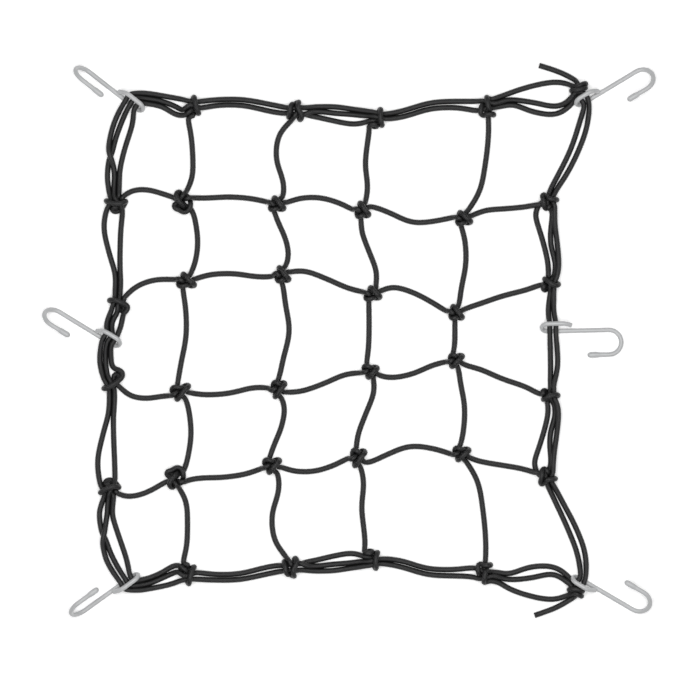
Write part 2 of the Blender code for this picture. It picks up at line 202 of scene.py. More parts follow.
# The larger knot nearest the left-hand corners. Marks: the top lobe, the lower left, the right of its ring.
RING = KnotKind(((-3.5, 6.2), (-6.5, -5.0), (7.0, -2.4)), (
    Pass((UP, 0.0), (RIGHT, 0.0), (
        (2.2, 5.8, 6.4), (0.2, 3.4, 7.2), (-1.8, 0.6, 6.0), (-4.6, -1.8, 4.6), (-6.6, -3.8, 5.6), (-5.6, -5.6, 7.0),
        (-2.5, -6.2, 6.4), (1.5, -7.6, 5.2), (4.8, -7.0, 5.6), (7.0, -4.4, 6.6), (7.3, -1.2, 6.0), (6.8, 1.6, 3.0),
        (5.0, 4.4, 2.6), (2.8, 4.0, 3.0), (1.8, 2.0, 4.8), (3.6, 2.0, 6.8), (6.2, 2.2, 6.6),
    )),
    Pass((LEFT, 0.0), (DOWN, 0.0), (
        (-6.0, 1.6, 2.2), (-2.5, 2.4, 2.0), (-1.4, 5.4, 2.2), (-2.2, 7.0, 4.4), (-4.2, 6.2, 7.4), (-4.6, 3.2, 9.2),
        (-2.6, 0.0, 9.4), (-0.2, -2.6, 8.6), (1.6, -4.8, 6.4), (1.4, -6.2, 3.4), (-1.2, -5.4, 2.2), (-3.8, -3.6, 2.2),
        (-2.8, -1.2, 2.0), (-0.6, -2.0, 2.0), (1.8, -5.0, 2.2), (6.0, -6.2, 2.4),
    )),
))
# The knots on the edge: two cords run through, and the third ties them and goes on into the meshes.
# Marks: the outer and inner ends of the bar, and where the mesh cord leaves.
TOP_FIRST = KnotKind(((2.8, 7.8), (6.0, -4.2), (-1.8, -7.5)), (
    Pass((LEFT, 4.0), (RIGHT, 2.2), (
        (-7.0, 6.8, 3.6), (-3.0, 5.5, 4.8), (1.0, 4.7, 5.6), (4.5, 4.3, 5.8), (8.0, 5.0, 4.2),
    )),
    Pass((LEFT, 0.0), (RIGHT, -2.2), (
        (-9.4, -1.0, 2.8), (-7.2, -1.8, 4.4), (-4.6, -0.4, 6.2), (-1.6, 1.6, 7.0), (1.2, 2.0, 6.4), (4.0, 0.9, 5.6),
        (8.0, -0.2, 4.0),
    )),
    Pass((LEFT, -4.0), (INWARD, 0.0), (
        (-7.0, -6.5, 3.0), (-3.8, -5.4, 4.8), (-0.9, -3.4, 6.4), (1.2, -1.2, 5.6), (1.4, 2.6, 3.0), (1.4, 5.8, 2.0),
        (2.2, 8.2, 4.2), (2.8, 7.2, 7.8), (3.3, 4.4, 9.4), (4.0, 0.6, 9.4), (5.2, -3.0, 8.4), (6.3, -5.0, 5.6),
        (5.2, -4.6, 2.6), (1.6, -2.4, 2.0), (-2.4, -1.0, 2.0), (-4.2, -3.4, 2.0), (-1.6, -5.4, 2.4), (1.8, -4.6, 4.2),
        (2.0, -5.8, 4.6), (-0.4, -6.6, 3.6), (-2.1, -8.6, 2.2),
    )),
))
# Marks: the outer and inner ends of the bar, and the middle of the wrap to its left.
TOP_SECOND = KnotKind(((3.9, 6.0), (4.8, -5.2), (-3.8, 0.0)), (
    Pass((LEFT, 2.2), (RIGHT, 4.0), (
        (-9.0, 3.9, 3.0), (-4.0, 3.2, 5.0), (1.0, 2.6, 5.8), (6.0, 2.4, 5.2), (10.0, 2.3, 3.6),
    )),
    Pass((LEFT, -2.2), (RIGHT, 0.0), (
        (-9.0, -1.9, 3.0), (-4.0, -1.6, 5.0), (1.0, -1.8, 5.8), (6.0, -2.4, 5.2), (10.0, -2.7, 3.4),
    )),
    Pass((RIGHT, -4.0), (INWARD, 0.0), (
        (10.0, -0.6, 2.2), (6.5, -1.0, 2.0), (3.5, -3.6, 2.2), (4.2, -6.0, 4.4), (5.4, -4.8, 7.6), (4.6, -1.8, 9.3),
        (2.6, 0.6, 9.3), (2.2, 3.2, 9.2), (3.4, 5.8, 7.4), (3.4, 6.0, 4.2), (0.6, 4.4, 2.2), (-3.0, 0.0, 2.0),
        (-4.6, -3.2, 3.6), (-4.2, -2.8, 6.8), (-3.8, -0.4, 8.9), (-3.6, 2.4, 9.0), (-2.6, 5.0, 7.0), (-0.6, 4.8, 3.8),
        (1.0, 2.4, 2.4), (1.6, 0.2, 5.2), (0.6, -1.6, 7.6), (-1.4, -4.4, 7.0), (-4.0, -7.4, 4.4), (-6.0, -9.6, 2.8),
    )),
))
# Marks: the outer and inner ends of the bar, and where the mesh cord leaves.
TOP_THIRD = KnotKind(((4.0, 5.5), (5.4, -4.6), (-4.2, -7.0)), (
    Pass((LEFT, 4.0), (RIGHT, 2.2), (
        (-9.0, 5.9, 4.2), (-4.0, 5.0, 5.2), (0.0, 4.2, 5.8), (4.0, 3.8, 5.8), (9.0, 3.6, 4.0),
    )),
    Pass((LEFT, 0.0), (RIGHT, -2.2), (
        (-9.0, 2.4, 3.0), (-4.0, 1.4, 4.6), (0.0, 0.4, 5.6), (4.0, -0.2, 5.8), (9.0, -0.4, 4.0),
    )),
    Pass((LEFT, -4.0), (INWARD, 0.0), (
        (-9.5, -3.0, 2.8), (-6.0, -1.8, 4.8), (-2.6, -1.0, 6.2), (0.4, -0.4, 5.8), (2.0, 1.8, 3.6), (2.4, 4.8, 2.4),
        (3.6, 6.6, 4.2), (4.2, 5.6, 7.6), (3.8, 3.0, 9.4), (3.9, 0.0, 9.5), (4.7, -3.2, 8.9), (5.6, -5.2, 6.2),
        (4.8, -4.8, 3.2), (1.8, -2.6, 2.2), (-1.8, -1.6, 2.0), (-3.4, -3.6, 2.2), (-0.8, -5.4, 3.0), (1.6, -4.8, 4.8),
        (0.2, -3.2, 6.4), (-2.6, -3.4, 6.0), (-4.4, -5.2, 4.0), (-4.3, -8.0, 2.4),
    )),
))
# Marks: the outer end of the bar, the lower left lobe and the right lobe.
TOP_FOURTH = KnotKind(((0.0, 7.2), (-3.8, -5.8), (5.0, -4.2)), (
    Pass((LEFT, 2.2), (RIGHT, 0.0), (
        (-9.0, 4.5, 3.0), (-4.0, 4.2, 4.8), (0.0, 4.0, 5.8), (4.0, 3.4, 5.8), (9.0, 3.6, 4.8),
    )),
    Pass((LEFT, -2.2), (RIGHT, -4.0), (
        (-9.0, -2.2, 3.0), (-5.0, -1.6, 4.6), (-1.0, -0.6, 5.6), (3.0, -0.6, 5.8), (9.0, 1.2, 3.2),
    )),
    Pass((RIGHT, 4.0), (INWARD, 0.0), (
        (10.0, 8.0, 3.6), (6.0, 6.4, 5.2), (2.8, 6.0, 4.4), (0.4, 7.2, 3.8), (-0.6, 7.8, 5.8), (-0.2, 6.0, 8.4),
        (0.2, 3.2, 9.4), (0.9, 0.0, 9.0), (1.8, -2.4, 6.4), (3.2, -4.6, 3.4), (4.9, -5.0, 4.0), (4.7, -4.2, 6.6),
        (2.6, -4.0, 8.4), (-0.8, -4.4, 8.0), (-2.8, -5.8, 6.2), (-4.6, -5.2, 6.8), (-5.0, -2.6, 8.0),
        (-4.0, 0.4, 7.4), (-2.4, 1.6, 4.4), (-1.0, -1.4, 2.4), (1.0, -5.4, 2.2), (1.5, -8.6, 2.1),
    )),
))
# Marks: the left and right ends of the bar, and the bottom.
LEFT_FIRST = KnotKind(((-6.8, 0.9), (6.8, 1.8), (-1.5, -6.6)), (
    Pass((UP, 4.0), (DOWN, 2.2), (
        (-4.4, 9.0, 3.4), (-3.2, 5.0, 4.8), (-3.6, 1.0, 5.8), (-5.6, -2.6, 5.2), (-7.8, -6.6, 3.4),
    )),
    Pass((UP, 0.0), (DOWN, -2.2), (
        (-1.4, 10.0, 3.0), (-0.6, 5.0, 4.6), (1.6, 1.0, 5.6), (3.9, -2.6, 5.4), (4.9, -7.0, 3.4),
    )),
    Pass((UP, -4.0), (INWARD, 0.0), (
        (1.7, 10.5, 3.8), (1.7, 6.0, 5.8), (0.6, 3.2, 4.4), (-2.0, 1.2, 2.2), (-6.4, 0.6, 3.4), (-7.4, 1.6, 5.8),
        (-5.6, 0.9, 8.4), (-2.4, -0.4, 9.4), (1.2, -0.7, 9.5), (4.6, -0.2, 9.0), (7.2, 1.6, 6.6), (7.0, 1.4, 3.6),
        (4.4, -2.6, 2.2), (1.4, -5.8, 2.6), (-1.6, -6.4, 3.4), (-3.2, -4.6, 4.6), (-1.6, -3.0, 6.0), (1.4, -3.4, 5.6),
        (3.0, -1.0, 3.4), (4.2, 2.4, 4.2), (4.9, 4.8, 5.6), (6.0, 6.4, 4.2),
    )),
))
# Marks: the left end of the bar, the right-hand loop, and where the mesh cord leaves.
LEFT_SECOND = KnotKind(((-7.0, 2.6), (7.4, -3.0), (5.0, 6.2)), (
    Pass((UP, 2.2), (DOWN, 4.0), (
        (-2.8, 10.0, 3.2), (-3.0, 5.0, 4.8), (-4.4, 0.0, 5.4), (-5.6, -4.0, 4.2), (-6.8, -8.0, 2.8),
    )),
    Pass((UP, -2.2), (DOWN, 0.0), (
        (0.6, 10.0, 3.2), (0.2, 5.0, 4.8), (-0.8, 0.0, 5.6), (-1.2, -5.0, 4.8), (-2.2, -8.6, 3.2),
    )),
    Pass((DOWN, -4.0), (INWARD, 0.0), (
        (3.0, -9.6, 3.2), (4.2, -6.6, 4.8), (6.8, -4.6, 6.2), (7.8, -2.6, 6.6), (6.2, -0.6, 7.6), (3.0, 0.8, 8.8),
        (0.0, 2.2, 9.4), (-3.2, 3.0, 9.2), (-6.2, 3.0, 7.4), (-7.4, 2.4, 4.6), (-5.0, 1.8, 2.4), (-1.0, 0.0, 2.0),
        (0.8, -5.0, 2.4), (2.8, -6.8, 3.6), (4.4, -4.4, 4.6), (3.8, -0.8, 5.0), (3.8, 2.2, 5.0), (4.6, 4.8, 4.8),
        (6.2, 7.0, 3.6),
    )),
))
# The second kind again, slacker. Marks: the left end of the bar, the loop, and where the mesh cord leaves.
LEFT_THIRD = KnotKind(((-7.0, 6.0), (8.6, -7.0), (5.4, 4.6)), (
    Pass((UP, 2.2), (DOWN, 4.0), (
        (-1.9, 9.8, 2.8), (-2.2, 5.0, 4.6), (-4.2, 1.0, 5.4), (-6.6, -3.0, 4.6), (-8.4, -8.0, 3.0),
    )),
    Pass((UP, -2.2), (DOWN, 0.0), (
        (1.5, 9.8, 2.8), (0.8, 5.0, 4.8), (-1.2, 0.8, 5.6), (-3.4, -3.6, 4.8), (-4.8, -8.6, 3.0),
    )),
    Pass((DOWN, -4.0), (INWARD, 0.0), (
        (-0.7, -11.6, 2.8), (1.2, -10.4, 4.2), (4.8, -10.2, 5.4), (9.2, -9.4, 6.2), (10.2, -6.4, 6.8),
        (7.6, -3.2, 7.6), (4.8, -0.6, 8.6), (1.6, 1.8, 9.4), (-2.0, 4.0, 9.4), (-5.4, 5.4, 8.2), (-7.4, 5.6, 5.4),
        (-5.6, 4.4, 2.4), (-1.6, 1.4, 2.0), (1.2, -2.0, 2.4), (1.8, -5.4, 3.2), (4.4, -6.6, 3.8), (5.8, -4.8, 4.6),
        (4.2, -1.6, 5.0), (3.4, 1.2, 5.0), (4.8, 3.2, 4.6), (7.2, 5.2, 3.4),
    )),
))
# Marks: the upper left lobe, the right lobe and the bottom lobe.
RIGHT_FIRST = KnotKind(((-3.4, 4.6), (4.9, 0.2), (-1.6, -4.2)), (
    Pass((UP, 2.2), (DOWN, 4.0), (
        (7.6, 11.0, 3.0), (5.4, 7.0, 4.4), (3.6, 3.0, 5.4), (2.8, -1.0, 6.2), (4.0, -5.5, 6.6), (4.8, -10.0, 6.5),
    )),
    Pass((UP, -2.2), (DOWN, 0.0), (
        (2.2, 11.0, 3.0), (0.6, 7.0, 4.4), (0.0, 3.0, 5.0), (0.8, -1.0, 3.6), (3.8, -5.0, 2.2), (4.8, -9.6, 2.1),
    )),
    Pass((DOWN, -4.0), (INWARD, 0.0), (
        (-10.4, -9.6, 2.3), (-8.9, -6.0, 2.7), (-6.6, -3.6, 3.2), (-4.0, -1.6, 2.2), (0.0, 0.6, 2.0), (4.4, 0.4, 2.8),
        (6.0, 0.8, 5.2), (3.8, 1.2, 8.2), (0.8, 1.8, 8.6), (-1.2, 4.2, 6.2), (-2.8, 5.6, 4.6), (-4.0, 4.6, 6.6),
        (-3.5, 2.0, 8.8), (-3.2, -1.0, 9.2), (-3.0, -3.6, 7.6), (-1.6, -5.0, 5.4), (0.8, -3.4, 6.4), (2.4, -2.4, 4.4),
        (0.6, -2.4, 2.2), (-4.4, -2.2, 3.6), (-9.0, -2.4, 2.6),
    )),
))
# Marks: the upper left lobe, the right lobe and the lower left lobe.
RIGHT_SECOND = KnotKind(((-4.4, 3.3), (4.6, -0.2), (-4.4, -4.4)), (
    Pass((UP, 4.0), (DOWN, 2.2), (
        (5.8, 10.5, 5.6), (4.2, 6.5, 6.2), (2.2, 2.5, 6.0), (1.6, -2.0, 5.6), (1.5, -6.0, 5.4), (1.7, -10.0, 5.2),
    )),
    Pass((UP, 0.0), (DOWN, -2.2), (
        (4.2, 10.5, 2.2), (2.6, 6.5, 2.4), (0.2, 2.5, 3.6), (-0.8, -2.0, 4.0), (-0.5, -6.0, 2.6), (-0.3, -10.0, 2.2),
    )),
    Pass((UP, -4.0), (INWARD, 0.0), (
        (-1.0, 11.0, 3.6), (-1.0, 7.0, 4.8), (0.4, 3.6, 3.4), (3.4, 1.2, 2.4), (5.4, 0.2, 4.4), (4.2, -0.9, 7.4),
        (1.2, -0.7, 9.0), (-1.8, 1.4, 9.2), (-4.4, 3.4, 7.4), (-4.8, 3.4, 4.4), (-2.6, 0.6, 2.2), (-1.0, -3.2, 2.2),
        (-3.0, -5.6, 3.8), (-5.0, -4.2, 6.2), (-4.6, -1.6, 6.6), (-4.4, 0.0, 4.6), (-6.2, -0.8, 3.2),
        (-9.0, -1.2, 2.6),
    )),
))
# The knot at a right-hand corner. Marks: its outer end, its left lobe, and where the tail comes away.
CORNER = KnotKind(((6.0, 2.2), (-5.6, -2.4), (-3.2, 5.5)), (
    Pass((LEFT, 0.0), (TAIL, 0.0), (
        (-10.0, 2.6, 3.0), (-6.4, 0.6, 5.0), (-2.6, -0.9, 7.6), (0.8, 0.0, 9.0), (4.0, 1.6, 8.0), (5.7, 2.2, 5.2),
        (4.4, 0.8, 2.6), (0.0, -2.0, 2.0), (-3.6, -4.0, 2.8), (-4.8, -4.0, 5.4), (-3.4, -3.9, 7.8), (-0.4, -3.2, 9.0),
        (3.0, -1.7, 8.6), (5.4, -0.7, 6.2), (4.6, -1.0, 3.4), (2.2, -1.4, 2.2), (0.0, 1.0, 3.0), (-1.6, 3.0, 4.4),
    )),
))

MESH_KNOTS = {
    "K11": Knot(-136.5, 114.5, RING, ((-3.5, 6.2), (-6.5, -5.0), (7.0, -2.4)),
                ((3.9, 8.5), (9.0, 2.1), (8.3, -9.0), (-8.5, 3.2))),
    "K12": Knot(-59.0, 110.5, MESH, ((-1.8, 5.3), (-6.0, -2.8), (4.3, -1.6)),
                ((5.3, 8.0), (9.0, 3.2), (-1.0, -7.5), (-8.0, 3.0))),
    "K13": Knot(11.0, 107.0, MESH, ((-1.8, 4.8), (-4.2, -5.2), (3.5, -3.1)),
                ((2.8, 8.0), (7.5, 2.9), (-0.8, -8.5), (-7.5, 0.6))),
    "K14": Knot(93.5, 100.5, MESH, ((-2.2, 3.2), (-5.0, -4.5), (4.4, -2.6)),
                ((5.6, 8.0), (9.0, 3.0), (-0.6, -8.5), (-8.0, 0.3))),
    "K21": Knot(-133.5, 49.0, MESH, ((-2.2, 4.6), (-6.3, -3.4), (5.9, -3.0)),
                ((5.0, 8.0), (9.0, 2.4), (-2.4, -8.0), (-9.0, 0.8))),
    "K22": Knot(-55.0, 54.5, MESH, ((-2.0, 4.6), (-3.5, -5.4), (4.3, -3.7)),
                ((3.8, 8.0), (8.0, 2.1), (1.1, -8.5), (-6.6, -1.9))),
    "K23": Knot(18.0, 38.5, MESH, ((-0.3, 3.4), (-4.8, -3.8), (5.3, -1.8)),
                ((4.2, 8.0), (9.0, 3.3), (-1.7, -8.5), (-8.0, 1.9))),
    "K24": Knot(87.5, 23.5, MESH, ((-1.9, 3.7), (-3.6, -4.5), (3.6, -3.8)),
                ((3.0, 8.0), (8.0, 3.0), (0.5, -8.5), (-7.5, 1.0))),
    "K31": Knot(-138.5, -41.5, MESH, ((-2.2, 6.2), (-6.2, -2.0), (6.8, -3.8)),
                ((5.5, 8.0), (9.5, 2.0), (-1.4, -8.0), (-8.5, 3.7))),
    "K32": Knot(-58.0, -39.0, MESH, ((-2.1, 6.5), (-3.3, -4.5), (4.2, -2.8)),
                ((3.4, 9.0), (7.0, 3.6), (1.0, -8.0), (-8.0, 0.0))),
    "K33": Knot(16.5, -23.5, MESH, ((-0.7, 5.2), (-4.8, -1.4), (4.4, 0.2)),
                ((3.7, 9.0), (8.0, 5.8), (-1.8, -8.0), (-7.0, 3.1))),
    "K34": Knot(87.0, -15.0, MESH, ((-2.1, 5.5), (-3.5, -2.2), (4.4, -1.5)),
                ((3.0, 9.0), (8.0, 5.6), (-0.2, -8.0), (-7.0, 2.6))),
    "K41": Knot(-142.5, -112.0, RING, ((-3.0, 7.8), (-6.2, -3.4), (7.3, -1.0)),
                ((3.8, 9.5), (9.0, 2.2), (8.2, -9.0), (-8.5, 3.9))),
    "K42": Knot(-63.0, -102.0, MESH, ((-2.3, 5.5), (-6.2, -3.6), (5.3, -3.0)),
                ((5.0, 8.0), (9.0, 2.6), (-1.0, -8.0), (-8.0, 2.8))),
    "K43": Knot(7.5, -95.5, MESH, ((-2.7, 6.6), (-4.0, -5.6), (4.3, -3.2)),
                ((2.4, 9.0), (8.0, 4.8), (-1.0, -9.5), (-7.5, 1.2))),
    "K44": Knot(92.0, -92.0, MESH, ((-2.5, 4.8), (-5.6, -3.4), (4.9, -1.7)),
                ((4.8, 8.0), (8.5, 5.4), (0.2, -8.5), (-8.5, 0.8))),
}
EDGE_KNOTS = {
    "T1": Knot(-129.5, 190.5, TOP_FIRST),
    "T2": Knot(-44.5, 187.5, TOP_SECOND),
    "T3": Knot(21.5, 181.5, TOP_THIRD),
    "T4": Knot(113.0, 190.5, TOP_FOURTH),
    "B1": Knot(-132.0, -190.0, TOP_FIRST, ((0.9, 8.4), (4.6, -4.0), (-3.8, -7.3))),
    "B2": Knot(-47.5, -185.0, TOP_SECOND, ((3.1, 6.3), (3.8, -5.3), (-4.5, 0.6))),
    "B3": Knot(19.0, -178.5, TOP_THIRD, ((2.8, 5.9), (4.1, -4.2), (-6.0, -7.0))),
    "B4": Knot(110.5, -187.5, TOP_FOURTH, ((-0.2, 9.4), (-3.4, -4.3), (5.0, -2.4))),
    "L1": Knot(-191.0, 112.5, LEFT_FIRST),
    "L2": Knot(-188.5, 30.0, LEFT_SECOND),
    "L3": Knot(-194.0, -34.0, LEFT_THIRD),
    "L4": Knot(-196.0, -120.0, LEFT_FIRST, ((-6.9, 4.0), (6.5, 0.9), (-2.6, -5.0))),
    "R1": Knot(162.5, 113.0, RIGHT_FIRST),
    "R2": Knot(165.0, 46.5, RIGHT_SECOND),
    "R3": Knot(165.0, -45.0, RIGHT_SECOND, ((-5.2, 2.6), (4.2, 0.3), (-4.6, -3.3))),
    "R4": Knot(161.5, -110.5, RIGHT_FIRST, ((-3.9, 5.4), (4.8, 0.9), (-2.4, -4.6))),
}
CORNER_KNOTS = {
    "TR": Knot(188.5, 207.5, CORNER),
    "BR": Knot(187.0, -206.5, CORNER, ((4.6, 1.2), (-5.8, -2.6), (-3.2, 5.0))),
}
CORNERS = {"TL": Knot(-179.0, 199.5), "BL": Knot(-177.0, -199.0)}
EYE_CORNERS = {"TR": (193.5, 199.0), "BR": (191.0, -198.0)}
KNOTS = {**MESH_KNOTS, **EDGE_KNOTS, **CORNER_KNOTS, **CORNERS}

# Bows off the straight line between knots, towards the top edge for a cord that runs across, and towards
# the right for one that runs down. The rows are the upper half; the lower half mirrors them.
MESH_SPANS_ACROSS = (
    Span("L1", "K11", 0, (10.2, 9.9, 5.2)), Span("K11", "K12", 0, (3.1, 5.1, 4.5)),
    Span("K12", "K13", 0, (6.8, 8.3, 4.3)), Span("K13", "K14", 0, (0.0, -7.0, -3.9)),
    Span("K14", "R1", 0, (3.0, 1.2, -0.5)), Span("L2", "K21", 0, (9.2, 9.8, 5.9)),
    Span("K21", "K22", 0, (3.7, 3.0, -1.0)), Span("K22", "K23", 0, (6.6, 4.1, 0.2)),
    Span("K23", "K24", 0, (9.3, 8.2, 2.9)), Span("K24", "R2", 0, (0.8, 1.6, 0.8)),
)
MESH_SPANS_DOWN = (
    Span("T1", "K11", 0, (1.5, 4.9, 6.3)), Span("T2", "K12", 0, (-9.4, -7.9, 1.6)),
    Span("T3", "K13", 0, (-3.5, -2.9, 1.7)), Span("T4", "K14", 0, (6.2, 8.6, 8.9)),
    Span("K11", "K21", 0, (9.6, 11.1, 8.6)), Span("K12", "K22", 0, (0.2, 5.3, 6.6)),
    Span("K13", "K23", 0, (-2.4, 2.0, 6.5)), Span("K14", "K24", 0, (3.3, 5.2, 3.0)),
)
MIDDLE_SPANS = (
    Span("K21", "K31", 0, (0.9, 2.5, -0.4)), Span("K22", "K32", 0, (3.5, 7.6, 3.3)),
    Span("K23", "K33", 0, (-1.2, -0.8, -1.0)), Span("K24", "K34", 0, (0.0, 0.0, 0.0)),
)
EDGE_SPANS_ACROSS = (
    Span("T1", "T2", 2.2, (7.5, 8.4, 5.5)), Span("T1", "T2", -2.2, (2.9, 3.6, -0.3)),
    Span("T2", "T3", 4.0, (4.3, 6.8, 5.8)), Span("T2", "T3", 0.0, (1.8, 1.7, 2.0)),
    Span("T2", "T3", -4.0, (-1.4, -4.6, -5.9)), Span("T3", "T4", 2.2, (4.5, 8.8, 7.6)),
    Span("T3", "T4", -2.2, (-0.5, 3.9, 2.4)),
)
EDGE_SPANS_DOWN = (
    Span("L1", "L2", 2.2, (-10.5, -6.6, -1.2)), Span("L1", "L2", -2.2, (3.3, 2.0, 1.1)),
    Span("R1", "R2", -4.0, (-8.9, -4.4, -1.0)), Span("R1", "R2", 0.0, (2.9, 1.4, 4.9)),
    Span("R1", "R2", 4.0, (4.8, 6.8, 7.2), (4.5, 1.0, 4.0)),
)
EYE_CORDS = (
    EyeCord("T1", 4.0, (5.6, 5.4, 4.3), "TL", (), "hook_top_left", 15.4, (-10.7, -11.2, -3.0), "L1", 0.0),
    EyeCord("T1", 0.0, (-1.0, 0.4, 0.7), "TL", (), "hook_top_left", 10.5, (-4.9, -9.4, -9.8), "L1", 4.0),
    EyeCord("T1", -4.0, (-7.8, -1.6, -1.8), "TL", (), "hook_top_left", 5.6, (4.7, 0.8, -1.3), "L1", -4.0),
    EyeCord("B1", 4.0, (-6.6, -7.0, -6.3), "BL", (), "hook_bottom_left", 15.4, (-17.2, -14.4, -6.2), "L4", 0.0),
    EyeCord("B1", 0.0, (2.2, 0.4, -2.3), "BL", (), "hook_bottom_left", 10.5, (-11.5, -14.8, -13.1), "L4", 4.0),
    EyeCord("B1", -4.0, (8.0, 2.4, 0.0), "BL", (), "hook_bottom_left", 5.6, (-0.5, -2.5, -3.9), "L4", -4.0),
    EyeCord("T4", 0.0, (1.8, -4.0, -11.8), "TR",
            ((178.5, 194.1, 2.4), (182.3, 198.0, 5.0), (184.3, 202.1, 5.6)),
            "hook_top_right", 9.4, (9.7, 10.3, 7.1), "R1", 2.2),
    EyeCord("T4", -4.0, (-0.2, -11.5, -17.9), "TR",
            ((178.0, 190.5, 2.1), (181.9, 195.3, 2.1), (184.3, 199.9, 2.1), (185.9, 203.9, 2.6)),
            "hook_top_right", 4.7, (2.8, 3.4, 0.4), "R1", -2.2),
    EyeCord("B4", 0.0, (-3.5, 2.4, 10.5), "BR",
            ((174.5, -195.0, 2.4), (179.8, -198.8, 4.8), (183.0, -202.6, 5.6)),
            "hook_bottom_right", 9.4, (10.2, 10.1, 6.1), "R4", 2.2),
    EyeCord("B4", -4.0, (0.3, 11.4, 16.2), "BR",
            ((177.0, -191.0, 2.1), (181.0, -195.4, 2.1), (183.6, -199.4, 2.1), (184.8, -203.0, 2.6)),
            "hook_bottom_right", 4.7, (3.8, 3.0, 0.2), "R4", -2.2),
)
SIDE_CORDS = (
    SideCord("L2", "L3", 4.0, -8.9, "hook_mid_left", 13.7, -11.7),
    SideCord("L2", "L3", 0.0, -5.8, "hook_mid_left", 9.4, -7.2),
    SideCord("L2", "L3", -4.0, 3.6, "hook_mid_left", 5.1, -2.3),
    SideCord("R2", "R3", -2.2, -1.9, "hook_mid_right", 6.4, 0.2),
    SideCord("R2", "R3", 2.2, 2.4, "hook_mid_right", 11.4, 5.9),
)
TAIL_CORDS = (
    TailCord("T4", 4.0, (7.8, 9.7, 8.5), "TR", ((185.3, 213.0), (180.0, 216.4), (173.0, 219.8), (163.0, 223.2),
                                                (152.9, 226.3))),
    TailCord("B4", 4.0, (-10.1, -12.5, -10.4), "BR", ((184.0, -210.5), (177.5, -214.6), (170.6, -218.6),
                                                      (160.0, -222.6), (149.2, -226.3))),
)
HOOK_PLACES = {
    "hook_top_left": HookPlace(-170.6, 187.1, 142.0, 1, 64.0, 29.0, 24.0, 52.9, 21.8),
    "hook_top_right": HookPlace(187.5, 191.7, 31.0, -1, 34.0, 29.0, 20.5, 55.4, 18.6),
    "hook_mid_left": HookPlace(-189.6, -5.8, 148.5, 1, 53.0, 36.0, 21.5, 55.2, 17.6),
    "hook_mid_right": HookPlace(158.0, 7.4, 1.3, -1, 4.0, 36.0, 24.0, 54.8, 17.8, 2.6),
    "hook_bottom_left": HookPlace(-173.8, -190.4, 215.8, -1, 66.0, 20.0, 24.0, 52.2, 20.4),
    "hook_bottom_right": HookPlace(184.5, -192.4, -30.3, 1, 34.0, 25.0, 20.5, 55.4, 17.8),
}
QUARTERS = (0.25, 0.5, 0.75)
# How far a knot holds its cords fast, over what length that fades out, and where a hook holds them in its eye
KNOT_REACH = 7.5
KNOT_FADE = 4.5
EYE_MIDDLE = 10.0
EXIT_WAYS = (UP, RIGHT, DOWN, LEFT)
RIGHTWARDS, UPWARDS = Vector((1.0, 0.0)), Vector((0.0, 1.0))
OVERHEAD = Vector((0.0, 0.0, 1.0))


def mirrored(name: str) -> str:
    """The knot that mirrors another top to bottom.

    Args:
        name: The knot in the upper half.

    Returns:
        The name of its mirror image.
    """
    if name[0] in "TB":
        return ("B" if name[0] == "T" else "T") + name[1:]
    return f"{name[0]}{5 - int(name[1])}{name[2:]}"


def place(name: str) -> Vector:
    """A knot's or corner's place on the floor."""
    return Vector((KNOTS[name].x, KNOTS[name].y))


def fitted(
    turns: Sequence[tuple[float, float, float]],
    marks: Sequence[tuple[float, float]],
    wanted: Sequence[tuple[float, float]],
) -> np.ndarray:
    """A kind's turns, stretched in plan so that its three marks fall where a knot has them.

    The stretch fades out beyond the knot, where the cords run on as the kind has them.

    Args:
        turns: The turns of the kind.
        marks: Its own marks.
        wanted: The knot's marks.

    Returns:
        The turns, one row each.
    """
    turns, corners = np.array(turns), np.column_stack([marks, np.ones(3)])
    shares = np.column_stack([turns[:, :2], np.ones(len(turns))]) @ np.linalg.inv(corners)
    out = np.clip((np.linalg.norm(turns[:, :2], axis=1) - KNOT_REACH) / KNOT_FADE, 0.0, 1.0)[:, None]
    return np.column_stack([(1.0 - out) * (shares @ np.array(wanted)) + out * turns[:, :2], turns[:, 2]])


@dataclass
class Strand:
    """A stretch of cord between two ports, or through a knot."""

    start: Port
    end: Port
    points: list[Vector]

    def turned(self) -> "Strand":
        """The same stretch, run the other way."""
        return Strand(self.end, self.start, self.points[::-1])


